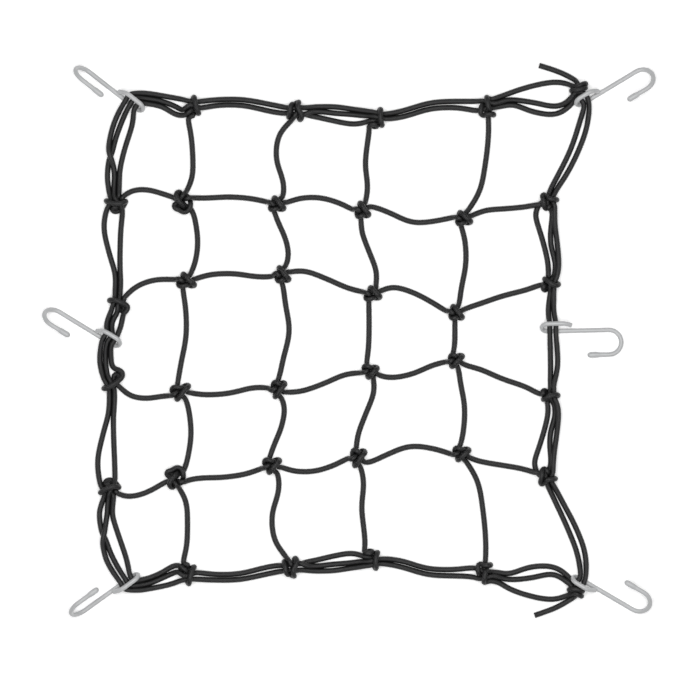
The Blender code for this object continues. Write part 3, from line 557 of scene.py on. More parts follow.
@dataclass
class CordPlan:
    """Works out the whole cords of the net from its knots, spans and hooks."""

    # Heights of a cord's middle: on the floor, where it leaves a knot, and in a hook's eye
    floor_z: float = 2.2
    exit_z: float = 2.4
    eye_z: float = 6.1
    eye_margin: float = 1.0
    leg_apart: float = 10.4

    def bowed(
        self,
        ends: Sequence[Vector],
        bows: Sequence[float],
        side: Vector,
        lifts: Sequence[float] = (),
        parts: Sequence[float] = QUARTERS,
    ) -> list[Vector]:
        """Points where a cord lies on the floor, off the straight line between two places.

        Args:
            ends: The two places.
            bows: How far each point lies off the line.
            side: The way in which it is set off.
            lifts: How far each point rides up.
            parts: How far along the line each point is, from 0 to 1.

        Returns:
            One point for each bow.
        """
        spots = [ends[0].lerp(ends[1], part) + bow * side for part, bow in zip(parts, bows)]
        return [Vector((*spot, self.floor_z + lift)) for spot, lift in zip_longest(spots, lifts, fillvalue=0.0)]

    def between(self, span: Span, across: bool, flip: bool) -> Strand:
        """A cord between two knots, or its mirror image.

        Args:
            span: The row of the table.
            across: Whether it runs from left to right, and not from top to bottom.
            flip: Whether to mirror it to the lower half.

        Returns:
            The stretch of cord between the two knots.
        """
        start, end = (mirrored(span.start), mirrored(span.end)) if flip else (span.start, span.end)
        edge = start in EDGE_KNOTS and end in EDGE_KNOTS
        leave, arrive = (RIGHT, LEFT) if across else (DOWN, UP)
        leave = leave if edge or start in MESH_KNOTS else INWARD
        arrive = arrive if edge or end in MESH_KNOTS else INWARD
        side = RIGHTWARDS
        if flip:
            leave, arrive = leave.mirrored(), arrive.mirrored()
        if across:
            side = -UPWARDS if flip else UPWARDS
        points = self.bowed((place(start), place(end)), span.bows, side, span.lifts)
        return Strand(Port(start, leave, span.lane), Port(end, arrive, span.lane), points)

    def eye_points(self, hook_name: str, reach: float) -> list[Vector]:
        """Where a cord passes under a hook's return leg and over its shank.

        Args:
            hook_name: The hook whose eye it passes through.
            reach: How far from the back of the eye, in millimetres.

        Returns:
            Two points, the one under the return leg first.
        """
        hook = HOOK_PLACES[hook_name]
        along, side, _, _ = hook_axes(hook)
        far = self.leg_apart * math.sin(math.radians(hook.eye_tilt)) + self.eye_margin
        middle = Vector((hook.x, hook.y, self.eye_z)) + reach * along
        return [middle - far * side, middle + self.eye_margin * side]

    def through_corner(self, row: EyeCord) -> Strand:
        """The stretch of an edge cord that turns a corner through a hook's eye.

        Args:
            row: The row of the table.

        Returns:
            The stretch between the knots before and after the corner.
        """
        down = UP if row.start[0] == "T" else DOWN
        leave = LEFT if row.end[0] == "L" else RIGHT
        turn = Vector(EYE_CORNERS.get(row.corner, place(row.corner)))
        points = self.bowed((place(row.start), place(row.corner)), row.bows, UPWARDS)
        points += [Vector(spot) for spot in row.passing] + self.eye_points(row.hook, row.reach)
        points += self.bowed((turn, place(row.end)), row.end_bows, RIGHTWARDS)
        return Strand(Port(row.start, leave, row.lane), Port(row.end, down, row.end_lane), points)

    def through_side(self, row: SideCord) -> Strand:
        """The stretch of an edge cord that passes through a hook halfway up a side.

        Args:
            row: The row of the table.

        Returns:
            The stretch between the knots above and below the hook.
        """
        ends = place(row.start), place(row.end)
        points = self.bowed(ends, (row.quarter,), RIGHTWARDS) + self.eye_points(row.hook, row.reach)
        points += self.bowed(ends, (row.three_quarters,), RIGHTWARDS, parts=QUARTERS[2:])
        return Strand(Port(row.start, DOWN, row.lane), Port(row.end, UP, row.lane), points)

    def to_tail(self, row: TailCord) -> Strand:
        """The stretch that ties a right-hand corner knot and ends in its tail.

        Args:
            row: The row of the table.

        Returns:
            The stretch from the last edge knot to the free end.
        """
        points = self.bowed((place(row.start), place(row.corner)), row.bows, UPWARDS)
        points += self.knot_points(row.corner, CORNER.passes[0].turns)
        points += [Vector((*spot, self.floor_z)) for spot in row.tail]
        return Strand(Port(row.start, RIGHT, row.lane), Port(row.corner, TAIL), points)

    def knot_points(self, name: str, turns: Sequence[tuple[float, float, float]]) -> list[Vector]:
        """The points of a cord's turns inside a knot.

        Args:
            name: The knot.
            turns: The turns of its kind.

        Returns:
            The points in millimetres, in the frame.
        """
        knot = KNOTS[name]
        flip = -1.0 if knot.y < 0 else 1.0
        spots = fitted(turns, knot.kind.marks, knot.marks or knot.kind.marks)
        return [Vector((knot.x + x, knot.y + flip * y, z)) for x, y, z in spots]

    def passages(self, name: str) -> list[Strand]:
        """Every cord's way through a knot.

        Args:
            name: The knot.

        Returns:
            One stretch for each cord that passes through it.
        """
        found = []
        knot = KNOTS[name]
        for start, end, turns in knot.kind.passes:
            points = self.knot_points(name, turns)
            ports = []
            for way, lane in (start, end):
                ports.append(Port(name, way.mirrored() if knot.y < 0 else way, lane))
                if knot.exits:
                    x, y = knot.exits[EXIT_WAYS.index(way)]
                    spot = Vector((knot.x + x, knot.y - y if knot.y < 0 else knot.y + y, self.exit_z))
                    points.insert(0 if len(ports) == 1 else len(points), spot)
            found.append(Strand(*ports, points))
        return found

    def strands(self) -> list[Strand]:
        """Lays every stretch of cord, between knots and inside them.

        Returns:
            The stretches, in no order along a cord.
        """
        found = []
        for flip in (False, True):
            found += [self.between(span, True, flip) for span in MESH_SPANS_ACROSS + EDGE_SPANS_ACROSS]
            found += [self.between(span, False, flip) for span in MESH_SPANS_DOWN + EDGE_SPANS_DOWN]
        found += [self.between(span, False, False) for span in MIDDLE_SPANS]
        found += [self.through_corner(row) for row in EYE_CORDS]
        found += [self.through_side(row) for row in SIDE_CORDS]
        found += [self.to_tail(row) for row in TAIL_CORDS]
        for name in (*MESH_KNOTS, *EDGE_KNOTS):
            found += self.passages(name)
        return found

    def cords(self) -> list[tuple[list[Vector], bool]]:
        """Joins the stretches end to end.

        Returns:
            For each whole cord its points, and whether it is a closed ring.
        """
        strands = self.strands()
        ends: dict[Port, list[int]] = {}
        for number, strand in enumerate(strands):
            for port in (strand.start, strand.end):
                ends.setdefault(port, []).append(number)
        for port, sharing in ends.items():
            if len(sharing) != (1 if port.way is TAIL else 2):
                raise ValueError(f"{len(sharing)} stretches meet at {port}")
        left = set(range(len(strands)))
        found = []
        tails = [sharing[0] for port, sharing in ends.items() if port.way is TAIL]
        while left:
            first = next((number for number in tails if number in left), min(left))
            strand = strands[first]
            if strand.end.way is TAIL:
                strand = strand.turned()
            left.discard(first)
            points, opening = list(strand.points), strand.start
            while True:
                following = [number for number in ends[strand.end] if number in left]
                if not following:
                    break
                left.discard(following[0])
                onward = strands[following[0]]
                strand = onward if onward.start == strand.end else onward.turned()
                points += strand.points
            found.append((points, strand.end == opening))
        return found

    def tightness(self, spots: np.ndarray) -> np.ndarray:
        """How tightly a cord is held at each place.

        Args:
            spots: The places, one row each.

        Returns:
            For each place 1 in a knot or a hook's eye, and 0 away from them.
        """
        held = [(knot.x, knot.y) for knot in KNOTS.values() if knot.kind]
        for hook in HOOK_PLACES.values():
            held.append(Vector((hook.x, hook.y)) + EYE_MIDDLE * hook_axes(hook)[0].xy)
        nearest = np.linalg.norm(spots[:, None, :2] - np.array(held)[None], axis=2).min(axis=1)
        return np.clip((KNOT_REACH + KNOT_FADE - nearest) / KNOT_FADE, 0.0, 1.0)


# ---- Hooks: their axes ----


def hook_axes(hook: HookPlace) -> tuple[Vector, Vector, Vector, Vector]:
    """A hook's heading, its tip side, and the ways from its shank to its tip and to its return leg.

    Args:
        hook: Where the hook lies.

    Returns:
        Four unit vectors.
    """
    heading, roll, tilt = (math.radians(angle) for angle in (hook.heading, hook.roll, hook.eye_tilt))
    along = Vector((math.cos(heading), math.sin(heading), 0.0))
    side = hook.tip_side * OVERHEAD.cross(along)
    to_tip = math.cos(roll) * side + math.sin(roll) * OVERHEAD
    return along, side, to_tip, math.cos(tilt) * OVERHEAD - math.sin(tilt) * side


# ---- Cords and wires as curves ----


def curve_through(points: np.ndarray, closed: bool, spacing: float) -> tuple[np.ndarray, np.ndarray]:
    """A smooth curve through points, sampled at even distances.

    Args:
        points: The points, one row each.
        closed: Whether the curve runs back to its first point.
        spacing: About how far apart the samples are.

    Returns:
        The samples, and for each the fractional number of the point it follows.
    """
    if closed:
        spots = np.vstack([points[-1:], points, points[:2]])
    else:
        spots = np.vstack([2 * points[:1] - points[1:2], points, 2 * points[-1:] - points[-2:-1]])
    before, start, end, after = spots[:-3], spots[1:-2], spots[2:-1], spots[3:]
    pace = np.sqrt(np.linalg.norm(np.diff(spots, axis=0), axis=1)).clip(TINY)[:, None]
    first, middle, last = pace[:-2], pace[1:-1], pace[2:]
    leaving = middle * ((start - before) / first - (end - before) / (first + middle)) + (end - start)
    arriving = (end - start) - middle * ((after - start) / (middle + last) - (after - end) / last)
    part = np.linspace(0.0, 1.0, STEPS_PER_POINT, endpoint=False)[None, :, None]
    dense = (
        (2 * part**3 - 3 * part**2 + 1) * start[:, None]
        + (part**3 - 2 * part**2 + part) * leaving[:, None]
        + (3 * part**2 - 2 * part**3) * end[:, None]
        + (part**3 - part**2) * arriving[:, None]
    ).reshape(-1, 3)
    number = (np.arange(len(start))[:, None] + part[0, :, 0][None]).reshape(-1)
    dense = np.vstack([dense, end[-1:]])
    number = np.append(number, len(start))
    along = np.append(0.0, np.cumsum(np.linalg.norm(np.diff(dense, axis=0), axis=1)))
    marks = np.linspace(0.0, along[-1], round(along[-1] / spacing), endpoint=not closed)
    samples = np.column_stack([np.interp(marks, along, dense[:, axis]) for axis in range(3)])
    return samples, np.interp(marks, along, number)


def tree_of(spots: np.ndarray) -> KDTree:
    """A search tree of places.

    Args:
        spots: The places, one row each.

    Returns:
        The tree, which finds them by the numbers of their rows.
    """
    tree = KDTree(len(spots))
    for number, spot in enumerate(spots):
        tree.insert(spot, number)
    tree.balance()
    return tree


def unit_rows(rows: np.ndarray) -> np.ndarray:
    """The same rows, each one long."""
    return rows / np.linalg.norm(rows, axis=1)[:, None].clip(TINY)


@dataclass
class Cord:
    """One whole cord of the net, from end to end or round to its start."""

    name: str
    path: np.ndarray
    closed: bool
    tightness: np.ndarray

    def neighbours(self) -> tuple[np.ndarray, np.ndarray]:
        """Which samples lie next to each other along the cord.

        Returns:
            For each sample the number of the one before it, and that of the one after it.
        """
        numbers = np.arange(len(self.path))
        if self.closed:
            return np.roll(numbers, 1), np.roll(numbers, -1)
        return np.append(0, numbers[:-1]), np.append(numbers[1:], numbers[-1])


@dataclass
class Settling:
    """Lets the cords come to rest on the floor, on each other and inside the hooks' eyes."""

    rounds: int = 90
    rebuild_every: int = 6
    reach: float = 5.6
    own_skip: int = 6
    loose_radius: float = 2.12
    tight_radius: float = 1.9
    # The sine of the least angle at which two cords cross, and don't just lie side by side
    crossing: float = 0.45
    # The share of its way back to where it was laid that a sample takes in each round
    hold_plan: float = 0.012
    hold_height: float = 0.03
    smoothings: int = 3
    smoothing: float = 0.6

    def near_pairs(self, spots: np.ndarray, cord_of: np.ndarray, lengths: np.ndarray) -> np.ndarray:
        """Pairs of samples that are close and not next to each other on one cord.

        Args:
            spots: Every sample, those of the hooks last.
            cord_of: The number of each sample's cord, and -1 for a hook.
            lengths: How many samples each sample's cord has if it is a ring, and a large number otherwise.

        Returns:
            Two columns of sample numbers.
        """
        tree = tree_of(spots)
        found = [
            (number, other)
            for number in np.flatnonzero(cord_of >= 0)
            for _, other, _ in tree.find_range(spots[number], self.reach)
            if other > number + 1
        ]
        pairs = np.array(found)
        gap = np.abs(pairs[:, 0] - pairs[:, 1])
        gap = np.minimum(gap, np.abs(lengths[pairs[:, 0]] - gap))
        same = cord_of[pairs[:, 0]] == cord_of[pairs[:, 1]]
        return pairs[~(same & (gap <= self.own_skip))]

    def settle(self, cords: Sequence[Cord], beads: np.ndarray, bead_radius: float) -> None:
        """Moves the samples of every cord until none lies inside another or in a hook.

        Args:
            cords: The cords, whose paths are changed.
            beads: Places along the hooks' wires, which don't move.
            bead_radius: The radius of that wire.
        """
        starts = np.append(0, np.cumsum([len(cord.path) for cord in cords]))
        spots = np.vstack([cord.path for cord in cords] + [beads])
        movable = starts[-1]
        cord_of = np.full(len(spots), -1)
        lengths = np.full(len(spots), 10 * len(spots))
        radius = np.full(len(spots), bead_radius)
        before, after = np.arange(len(spots)), np.arange(len(spots))
        for number, (cord, start) in enumerate(zip(cords, starts)):
            part = slice(start, start + len(cord.path))
            cord_of[part] = number
            if cord.closed:
                lengths[part] = len(cord.path)
            radius[part] = self.loose_radius + (self.tight_radius - self.loose_radius) * cord.tightness
            before[part], after[part] = (side + start for side in cord.neighbours())
        before[movable + 1 :] -= 1
        after[movable:-1] += 1
        home = spots.copy()
        hold = np.array([self.hold_plan, self.hold_plan, self.hold_height])
        pairs = np.empty((0, 2), int)
        for turn in range(self.rounds):
            if turn % self.rebuild_every == 0:
                pairs = self.near_pairs(spots, cord_of, lengths)
            spots[:movable] += self.pushes(spots, pairs, radius, unit_rows(spots[after] - spots[before]), movable)
            offset = spots[:movable] - home[:movable]
            for _ in range(self.smoothings):
                beside = 0.5 * (offset[before[:movable]] + offset[after[:movable]])
                offset += self.smoothing * (beside - offset)
            spots[:movable] = home[:movable] + offset * (1.0 - hold)
            spots[:movable, 2] = np.maximum(spots[:movable, 2], radius[:movable])
        for cord, start in zip(cords, starts):
            cord.path = spots[start : start + len(cord.path)]

    def pushes(
        self, spots: np.ndarray, pairs: np.ndarray, radius: np.ndarray, heading: np.ndarray, movable: int
    ) -> np.ndarray:
        """How far each sample is pushed by those that it overlaps.

        Args:
            spots: Every sample.
            pairs: Which of them are close.
            radius: The radius at each.
            heading: The way the cord runs at each.
            movable: How many of the samples can move.

        Returns:
            One row for each movable sample.
        """
        one, two = pairs[:, 0], pairs[:, 1]
        apart = spots[one] - spots[two]
        normal = np.cross(heading[one], heading[two])
        crosses = np.linalg.norm(normal, axis=1) > self.crossing
        normal = np.where(crosses[:, None], unit_rows(normal), unit_rows(apart))
        along = np.einsum("ij,ij->i", apart, normal)
        normal *= np.where(along < 0, -1.0, 1.0)[:, None]
        along = np.abs(along)
        aside = np.einsum("ij,ij->i", apart, apart) - along**2
        wanted = np.sqrt(((radius[one] + radius[two]) ** 2 - aside).clip(0.0))
        push = (wanted - along).clip(0.0)
        share = np.where(two < movable, 0.5, 1.0)
        total, weight = np.zeros((len(spots), 3)), np.full(len(spots), TINY)
        for numbers, sign in ((one, 1.0), (two, -1.0)):
            np.add.at(weight, numbers, push)
            np.add.at(total, numbers, (sign * push * push * share)[:, None] * normal)
        return (total / weight[:, None])[:movable]


def linked(name: str, data: Mesh | Light | Camera) -> Object:
    """A new object in the scene.

    Args:
        name: Its name.
        data: Its mesh, light or camera.

    Returns:
        The object.
    """
    made = bpy.data.objects.new(name, data)
    bpy.context.scene.collection.objects.link(made)
    return made


def sweep(
    name: str, path: np.ndarray, radii: np.ndarray, sides: int, closed: bool, first_across: Vector
) -> Object:
    """A round tube along a path, unrolled in its UV map to millimetres along and turns around.

    Args:
        name: The name of the new object.
        path: The middle of the tube, in millimetres.
        radii: Its radius at each point of the path.
        sides: How many sides it has.
        closed: Whether it closes into a ring.
        first_across: About which way its first side faces.

    Returns:
        The linked object.
    """
    if closed:
        path, radii = np.vstack([path, path[:1]]), np.append(radii, radii[0])
    steps = np.diff(path, axis=0)
    runs = unit_rows(steps)
    if closed:
        heading = unit_rows(np.vstack([runs, runs[:1]]) + np.vstack([runs[-1:], runs]))
    else:
        heading = unit_rows(np.vstack([runs, runs[-1:]]) + np.vstack([runs[:1], runs]))
    across = [first_across]
    for spot in heading:
        along = Vector(spot)
        across.append((across[-1] - across[-1].dot(along) * along).normalized())
    across = np.array(across[1:])
    other = np.cross(heading, across)
    rings = len(path)
    if closed:
        twist = math.atan2(across[-1] @ other[0], across[-1] @ across[0])
        turn = -twist * np.arange(rings) / (rings - 1)
        across, other = (
            across * np.cos(turn)[:, None] + other * np.sin(turn)[:, None],
            other * np.cos(turn)[:, None] - across * np.sin(turn)[:, None],
        )
    bm = bmesh.new()
    bm.loops.layers.uv.new("Braid")
    bmesh.ops.create_grid(bm, x_segments=rings - 1, y_segments=sides, size=0.5, calc_uvs=True)
    mesh = bpy.data.meshes.new(name)
    bm.to_mesh(mesh)
    grid = np.empty(3 * len(mesh.vertices))
    mesh.vertices.foreach_get("co", grid)
    grid = grid.reshape(-1, 3) + 0.5
    ring = np.rint(grid[:, 0] * (rings - 1)).astype(int)
    around = 2 * math.pi * (np.rint(grid[:, 1] * sides) % sides) / sides
    outwards = np.cos(around)[:, None] * across[ring] + np.sin(around)[:, None] * other[ring]
    mesh.vertices.foreach_set("co", (MM * (path[ring] + radii[ring, None] * outwards)).ravel())
    unrolled = np.empty(2 * len(mesh.loops))
    mesh.uv_layers[0].data.foreach_get("uv", unrolled)
    unrolled[::2] *= np.linalg.norm(steps, axis=1).sum()
    mesh.uv_layers[0].data.foreach_set("uv", unrolled)
    bm.clear()
    bm.from_mesh(mesh)
    bmesh.ops.remove_doubles(bm, verts=bm.verts, dist=WELD)
    rims = [edge for edge in bm.edges if edge.is_boundary]
    for edge in rims:
        edge.smooth = False
    bmesh.ops.holes_fill(bm, edges=rims, sides=0)
    bmesh.ops.recalc_face_normals(bm, faces=bm.faces)
    bm.to_mesh(mesh)
    bm.free()
    mesh.shade_smooth()
    return linked(name, mesh)


# ---- Materials ----


def linear(code: str) -> tuple[float, float, float, float]:
    """The linear colour of an sRGB hex code."""
    values = [int(code[start : start + 2], 16) / 255 for start in (1, 3, 5)]
    return (*(v / 12.92 if v <= 0.04045 else ((v + 0.055) / 1.055) ** 2.4 for v in values), 1.0)


def add(
    tree: NodeTree, kind: str, inputs: dict[int | str, Input], output: int | str = 0, **settings: str | bool
) -> NodeSocket | None:
    """Adds a node, sets it and joins it to others.

    Args:
        tree: The material's node tree.
        kind: The type of the node.
        inputs: Values or other nodes' outputs, by the name or number of the input.
        output: Which of the node's outputs is wanted.
        **settings: The node's own settings.

    Returns:
        That output, if it has any.
    """
    node = tree.nodes.new(kind)
    for key, value in settings.items():
        setattr(node, key, value)
    for key, value in inputs.items():
        if isinstance(value, NodeSocket):
            tree.links.new(value, node.inputs[key])
        else:
            node.inputs[key].default_value = value
    return node.outputs[output] if node.outputs else None


def maths(tree: NodeTree, operation: str, *values: Input, clamp: bool = False) -> NodeSocket:
    """A maths node's result on these values, in order."""
    return add(tree, "ShaderNodeMath", dict(enumerate(values)), operation=operation, use_clamp=clamp)


def blend(tree: NodeTree, share: Input, one: Input, two: Input) -> NodeSocket:
    """A colour between two others."""
    return add(tree, "ShaderNodeMix", {"Factor": share, 6: one, 7: two}, output=2, data_type="RGBA")


def blank(name: str) -> Material:
    """A new material without nodes.

    Args:
        name: What it is made of.

    Returns:
        The material.
    """
    made = bpy.data.materials.new(name)
    made.use_nodes = True
    made.node_tree.nodes.clear()
    return made


def surfaced(made: Material, inputs: dict[str, Input]) -> Material:
    """Ends a material with its surface.

    Args:
        made: The material.
        inputs: Values or other nodes' outputs, by the name of the surface's input.

    Returns:
        The same material.
    """
    shader = add(made.node_tree, "ShaderNodeBsdfPrincipled", inputs)
    add(made.node_tree, "ShaderNodeOutputMaterial", {"Surface": shader})
    return made


@dataclass(frozen=True)
class BraidFinish:
    """The woven sleeve of a bungee cord: textured polyester yarn, dyed black, with painted shade in the crevices
    between cords and a painted highlight on the yarns' tops.
    """

    yarns_each_way: float = 8.0
    yarn_pitch: float = 1.57
    yarn_fullness: float = 0.6
    dip: float = 0.4
    fuzz: float = 0.5
    fuzz_scale: float = 1.6
    fuzz_detail: float = 3.0
    fuzz_roughness: float = 0.6
    # The two ends of the yarn colour: the dips between yarns get the dark one as painted shade, their tops the light
    # one as a painted highlight, and the fuzz wanders between them
    dark: str = "#101010"
    light: str = "#2c2c2d"
    roughness: float = 0.42
    gloss: float = 0.42
    # How far the colour goes towards black as painted shade where other cords lie close
    painted_crevice_shade: float = 1.0
    relief: float = 0.7
    yarn_height: float = 0.3

    def material(self) -> Material:
        """Yarns that go over and under each other round the cord, with a painted highlight along their tops, painted
        shade in the dips between them, and painted shade where other cords lie close.

        Returns:
            The material.
        """
        made = blank("braided black polyester sleeve")
        tree = made.node_tree
        braid = add(tree, "ShaderNodeUVMap", {}, uv_map="Braid")
        split = add(tree, "ShaderNodeSeparateXYZ", {0: braid}).node
        length = maths(tree, "DIVIDE", split.outputs[0], self.yarn_pitch)
        turn = maths(tree, "MULTIPLY", split.outputs[1], self.yarns_each_way)
        ways = [maths(tree, operation, length, turn) for operation in ("ADD", "SUBTRACT")]
        cells = [maths(tree, "FLOOR", way) for way in ways]
        parity = maths(tree, "FRACT", maths(tree, "MULTIPLY", maths(tree, "ADD", *cells), 0.5))
        on_top = maths(tree, "GREATER_THAN", parity, 0.25)
        waves = [maths(tree, "ABSOLUTE", maths(tree, "SINE", maths(tree, "MULTIPLY", way, math.pi))) for way in ways]
        rounded = add(tree, "ShaderNodeMix", {0: on_top, 2: waves[0], 3: waves[1]})
        rounded = maths(tree, "POWER", rounded, self.yarn_fullness)
        lengthwise = add(tree, "ShaderNodeMix", {0: on_top, 2: waves[1], 3: waves[0]})
        lengthwise = maths(tree, "MULTIPLY_ADD", lengthwise, self.dip, 1.0 - self.dip)
        height = maths(tree, "MULTIPLY", rounded, lengthwise)
        noise = {"Scale": self.fuzz_scale, "Detail": self.fuzz_detail, "Roughness": self.fuzz_roughness}
        fuzz = add(tree, "ShaderNodeTexNoise", {"Vector": braid, **noise})
        # Random tone from the noise, plus a painted highlight: the yarns' raised tops are painted lighter and the
        # dips between them darker, as light would fall on them
        fuzz_and_painted_highlight = maths(tree, "MULTIPLY_ADD", fuzz, self.fuzz, -0.5 * self.fuzz)
        fuzz_and_painted_highlight = maths(tree, "ADD", fuzz_and_painted_highlight, height, clamp=True)
        # Painted shade: the colour goes towards black where other cords lie close, in the knots and between touching
        # cords
        closeness = add(tree, "ShaderNodeAttribute", {}, output="Fac", attribute_name="CreviceShadeMask")
        shade = maths(tree, "MULTIPLY", closeness, self.painted_crevice_shade)
        bump = {"Strength": self.relief, "Distance": self.yarn_height * MM, "Height": height}
        return surfaced(made, {
            "Base Color": blend(tree, shade, blend(tree, fuzz_and_painted_highlight, linear(self.dark), linear(self.light)), PAINTED_SHADE_BLACK),
            "Roughness": self.roughness,
            "Specular IOR Level": self.gloss,
            "Normal": add(tree, "ShaderNodeBump", bump),
        })


@dataclass(frozen=True)
class WireFinish:
    """Steel wire dipped in a light grey coating: smooth, half glossy, a little uneven."""

    base: str = "#c6c7c8"
    worn: str = "#babbbc"
    roughness: float = 0.34
    roughness_range: float = 0.16
    cloud_scale: float = 120.0
    cloud_detail: float = 4.0
    peel_scale: float = 1500.0
    peel_detail: float = 2.0
    peel_depth: float = 0.05
    peel_strength: float = 0.25
    coat: float = 0.2
    coat_roughness: float = 0.25

    def material(self) -> Material:
        """A pale coat whose gloss and tone wander a little, with a faint orange peel.

        Returns:
            The material.
        """
        made = blank("light grey coated steel wire")
        tree = made.node_tree
        spot = add(tree, "ShaderNodeTexCoord", {}, output="Object")
        cloud = {"Vector": spot, "Scale": self.cloud_scale, "Detail": self.cloud_detail}
        clouds = add(tree, "ShaderNodeTexNoise", cloud)
        peel = {"Vector": spot, "Scale": self.peel_scale, "Detail": self.peel_detail}
        peel = add(tree, "ShaderNodeTexNoise", peel)
        smoothest = self.roughness - 0.5 * self.roughness_range
        bump = {"Strength": self.peel_strength, "Distance": self.peel_depth * MM, "Height": peel}
        return surfaced(made, {
            "Base Color": blend(tree, clouds, linear(self.worn), linear(self.base)),
            "Roughness": maths(tree, "MULTIPLY_ADD", clouds, self.roughness_range, smoothest),
            "Coat Weight": self.coat,
            "Coat Roughness": self.coat_roughness,
            "Normal": add(tree, "ShaderNodeBump", bump),
        })


@dataclass(frozen=True)
class PaperFinish:
    """Seamless white studio paper: matt, with a tooth too fine to see from above."""

    base: str = "#fbfbfb"
    glow: float = 0.3
    roughness: float = 0.9
    tooth_scale: float = 900.0
    tooth_detail: float = 3.0
    tooth_depth: float = 0.1
    tooth_strength: float = 0.05

    def material(self) -> Material:
        """A matt white that glows a little, as paper lit from all around does.

        Returns:
            The material.
        """
        made = blank("white studio paper")
        tree = made.node_tree
        spot = add(tree, "ShaderNodeTexCoord", {}, output="Object")
        noise = {"Vector": spot, "Scale": self.tooth_scale, "Detail": self.tooth_detail}
        tooth = add(tree, "ShaderNodeTexNoise", noise)
        bump = {"Strength": self.tooth_strength, "Distance": self.tooth_depth * MM, "Height": tooth}
        return surfaced(made, {
            "Base Color": linear(self.base),
            "Roughness": self.roughness,
            "Emission Color": linear(self.base),
            "Emission Strength": self.glow,
            "Normal": add(tree, "ShaderNodeBump", bump),
        })


# ---- The net and its hooks ----


@dataclass
class WireHook:
    """One bent wire: a closed eye round the cords, a straight shank, and an open J with a thick tip."""

    name: str
    wire_radius: float = 1.9
    eye_radius: float = 5.2
    bend_radius: float = 10.1
    arc_steps: int = 12
    shank_points: int = 6
    sides: int = 24
    spacing: float = 0.5
    bead_every: int = 2
    # The return leg: how far from its cut end, and the share of its bend that it has there
    leg_end: tuple[tuple[float, float], ...] = ((0.0, 1.0), (2.6, 0.48), (5.6, 0.09), (8.4, 0.0))
    # The thickened tip: how far from its end, and the radius
    tip: tuple[tuple[float, float], ...] = (
        (13.0, 1.9), (10.5, 1.95), (8.6, 2.28), (6.6, 2.42), (2.8, 2.42), (1.5, 2.15), (0.5, 1.5), (0.0, 0.6),
    )

    def wire(self) -> tuple[np.ndarray, np.ndarray]:
        """The middle of the wire from the cut end of the eye to the tip.

        Returns:
            Points in millimetres, and the radius at each.
        """
        hook = HOOK_PLACES[self.name]
        along, _, to_tip, to_leg = hook_axes(hook)
        base = Vector((hook.x, hook.y, self.wire_radius))
        points = [
            base + (hook.eye_length - back) * along + (2 * self.eye_radius - share * hook.leg_bend) * to_leg
            for back, share in self.leg_end
        ]
        turns = [(math.cos(turn), math.sin(turn)) for turn in np.linspace(0.0, math.pi, self.arc_steps + 1)]
        eye_middle = base + self.eye_radius * (along + to_leg)
        points += [eye_middle + self.eye_radius * (cosine * to_leg - sine * along) for cosine, sine in turns]
        for step in range(1, self.shank_points):
            reach = self.eye_radius + (hook.shank - self.eye_radius) * step / self.shank_points
            points.append(base + reach * along)
        bend_middle = base + hook.shank * along + self.bend_radius * to_tip
        points += [bend_middle + self.bend_radius * (sine * along - cosine * to_tip) for cosine, sine in turns]
        radii = [self.wire_radius] * len(points)
        for back, radius in self.tip:
            points.append(bend_middle + self.bend_radius * to_tip - (hook.tip_leg - back) * along)
            radii.append(radius)
        path, number = curve_through(np.array(points), False, self.spacing)
        return path, np.interp(number, np.arange(len(radii)), radii)

    def beads(self) -> np.ndarray:
        """Places along the wire that the cords rest against."""
        return self.wire()[0][:: self.bead_every]

    def build(self, finish: Material) -> Object:
        """Bends the wire and coats it.

        Args:
            finish: The coating.

        Returns:
            The hook, in place of its plain solid.
        """
        path, radii = self.wire()
        across = hook_axes(HOOK_PLACES[self.name])[3]
        hook = sweep(f"{self.name}_wire", path, radii, self.sides, False, across)
        hook.data.materials.append(finish)
        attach(hook, ROOT)
        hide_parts(self.name)
        return hook


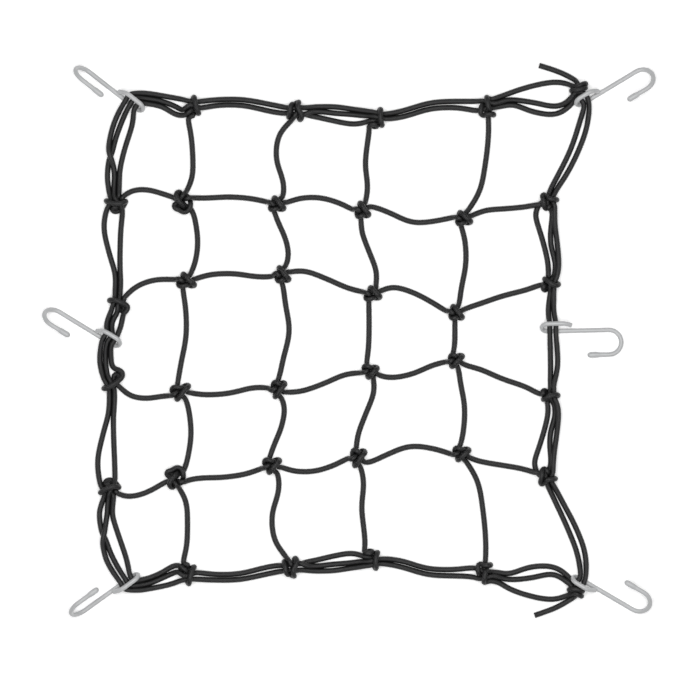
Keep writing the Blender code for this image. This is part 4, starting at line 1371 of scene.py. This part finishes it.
@dataclass
class CargoNet:
    """The whole net, as the few long cords that it is tied from."""

    plan: CordPlan = field(default_factory=CordPlan)
    settling: Settling = field(default_factory=Settling)
    spacing: float = 1.25
    radius: float = 2.28
    tight_radius: float = 2.14
    sides: int = 14
    fairings: int = 26
    fairing: float = 0.5
    # How far from another cord the painted crevice shade reaches, in millimetres
    crevice: float = 2.2

    def curves(self) -> list[Cord]:
        """The cords as they are laid, before they settle.

        Returns:
            One cord for each open or closed run of the plan.
        """
        found = []
        for number, (points, closed) in enumerate(self.plan.cords()):
            path = curve_through(np.array(points), closed, self.spacing)[0]
            cord = Cord(f"net_cord_{number + 1}", path, closed, self.plan.tightness(path))
            before, after = cord.neighbours()
            give = self.fairing * (1.0 - cord.tightness)[:, None]
            for _ in range(self.fairings):
                path += give * (0.5 * (path[before] + path[after]) - path)
            found.append(cord)
        return found

    def runs_on(self, cord: Cord, gap: int) -> bool:
        """Whether two samples of a cord are so few apart that they lie next to each other along it."""
        return min(gap, len(cord.path) - gap if cord.closed else gap) <= self.settling.own_skip

    def paint_shade_in_crevices(self, tubes: Sequence[Object], cords: Sequence[Cord]) -> None:
        """Notes on each cord's skin how near other cords are, as the attribute that its finish reads to paint shade
        into the crevices between cords.

        Args:
            tubes: The cords' objects.
            cords: The cords, in the same order.
        """
        spots = np.vstack([cord.path for cord in cords])
        cord_of = np.repeat(np.arange(len(cords)), [len(cord.path) for cord in cords])
        tree = tree_of(spots)
        for number, tube in enumerate(tubes):
            closeness = []
            for vertex in tube.data.vertices:
                spot = vertex.co / MM
                own = tree.find(spot - self.radius * vertex.normal)[1]
                gaps = [
                    apart - self.radius
                    for _, other, apart in tree.find_range(spot, self.radius + self.crevice)
                    if cord_of[other] != number or not self.runs_on(cords[number], abs(other - own))
                ]
                closeness.append(1.0 - min(1.0, max(0.0, min(gaps, default=self.crevice) / self.crevice)))
            tube.data.attributes.new("CreviceShadeMask", "FLOAT", "POINT").data.foreach_set("value", closeness)

    def build(self, hooks: Sequence[WireHook], finish: Material) -> list[Object]:
        """Lays, settles and sleeves the cords, and notes where their finish paints shade between them.

        Args:
            hooks: The hooks whose eyes they pass through.
            finish: The sleeve.

        Returns:
            One object for each cord, together in place of the net's plain solid.
        """
        cords = self.curves()
        beads = np.vstack([hook.beads() for hook in hooks])
        self.settling.settle(cords, beads, hooks[0].wire_radius)
        made = []
        for cord in cords:
            radii = self.radius + (self.tight_radius - self.radius) * cord.tightness
            tube = sweep(cord.name, cord.path, radii, self.sides, cord.closed, OVERHEAD)
            tube.data.materials.append(finish)
            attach(tube, ROOT)
            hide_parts("net")
            made.append(tube)
            LOG.info("%s: %.2f m%s", cord.name, len(cord.path) * self.spacing * MM, ", a ring" if cord.closed else "")
        self.paint_shade_in_crevices(made, cords)
        return made


# ---- The studio ----


@dataclass
class Studio:
    """A sheet of white paper under soft light, seen from straight above."""

    middle: tuple[float, float] = (0.00082, -0.00779)
    view_width: float = 0.574
    lens: float = 250.0
    sensor: float = 36.0
    paper_size: float = 12.0
    light_size: float = 2.2
    light_height: float = 2.2
    light_power: float = 57.0
    sky: float = 0.035
    sky_colour: str = "#ffffff"
    paper_cells: int = 8
    clip_end: float = 50.0

    def build(self, finish: Material) -> None:
        """Lays the paper, hangs the light and sets up the camera.

        Args:
            finish: The paper.
        """
        scene = bpy.context.scene
        bm = bmesh.new()
        bmesh.ops.create_grid(bm, x_segments=self.paper_cells, y_segments=self.paper_cells, size=self.paper_size / 2)
        mesh = bpy.data.meshes.new("studio_paper")
        bm.to_mesh(mesh)
        bm.free()
        mesh.materials.append(finish)
        linked("studio_paper", mesh)
        light = bpy.data.lights.new("soft_box", "AREA")
        light.shape = "SQUARE"
        light.size = self.light_size
        light.energy = self.light_power
        lamp = linked("soft_box", light)
        lamp.location = (0.0, 0.0, self.light_height)
        lamp.visible_camera = False
        world = bpy.data.worlds.new("pale_room")
        world.use_nodes = True
        background = world.node_tree.nodes["Background"].inputs
        background["Color"].default_value = linear(self.sky_colour)
        background["Strength"].default_value = self.sky
        scene.world = world
        camera = bpy.data.cameras.new("camera")
        camera.lens = self.lens
        camera.sensor_width = self.sensor
        camera.clip_end = self.clip_end
        viewer = linked("camera", camera)
        viewer.location = (*self.middle, self.view_width * self.lens / self.sensor)
        scene.camera = viewer
        scene.view_settings.view_transform = "Standard"


def main() -> None:
    """Builds the hooks, the net and the studio."""
    logging.basicConfig(level=logging.INFO, format="%(message)s")
    coating = WireFinish().material()
    hooks = [WireHook(name) for name in HOOK_PLACES]
    for hook in hooks:
        hook.build(coating)
        LOG.info("%s built", hook.name)
    CargoNet().build(hooks, BraidFinish().material())
    Studio().build(PaperFinish().material())


if __name__ == "__main__":
    main()
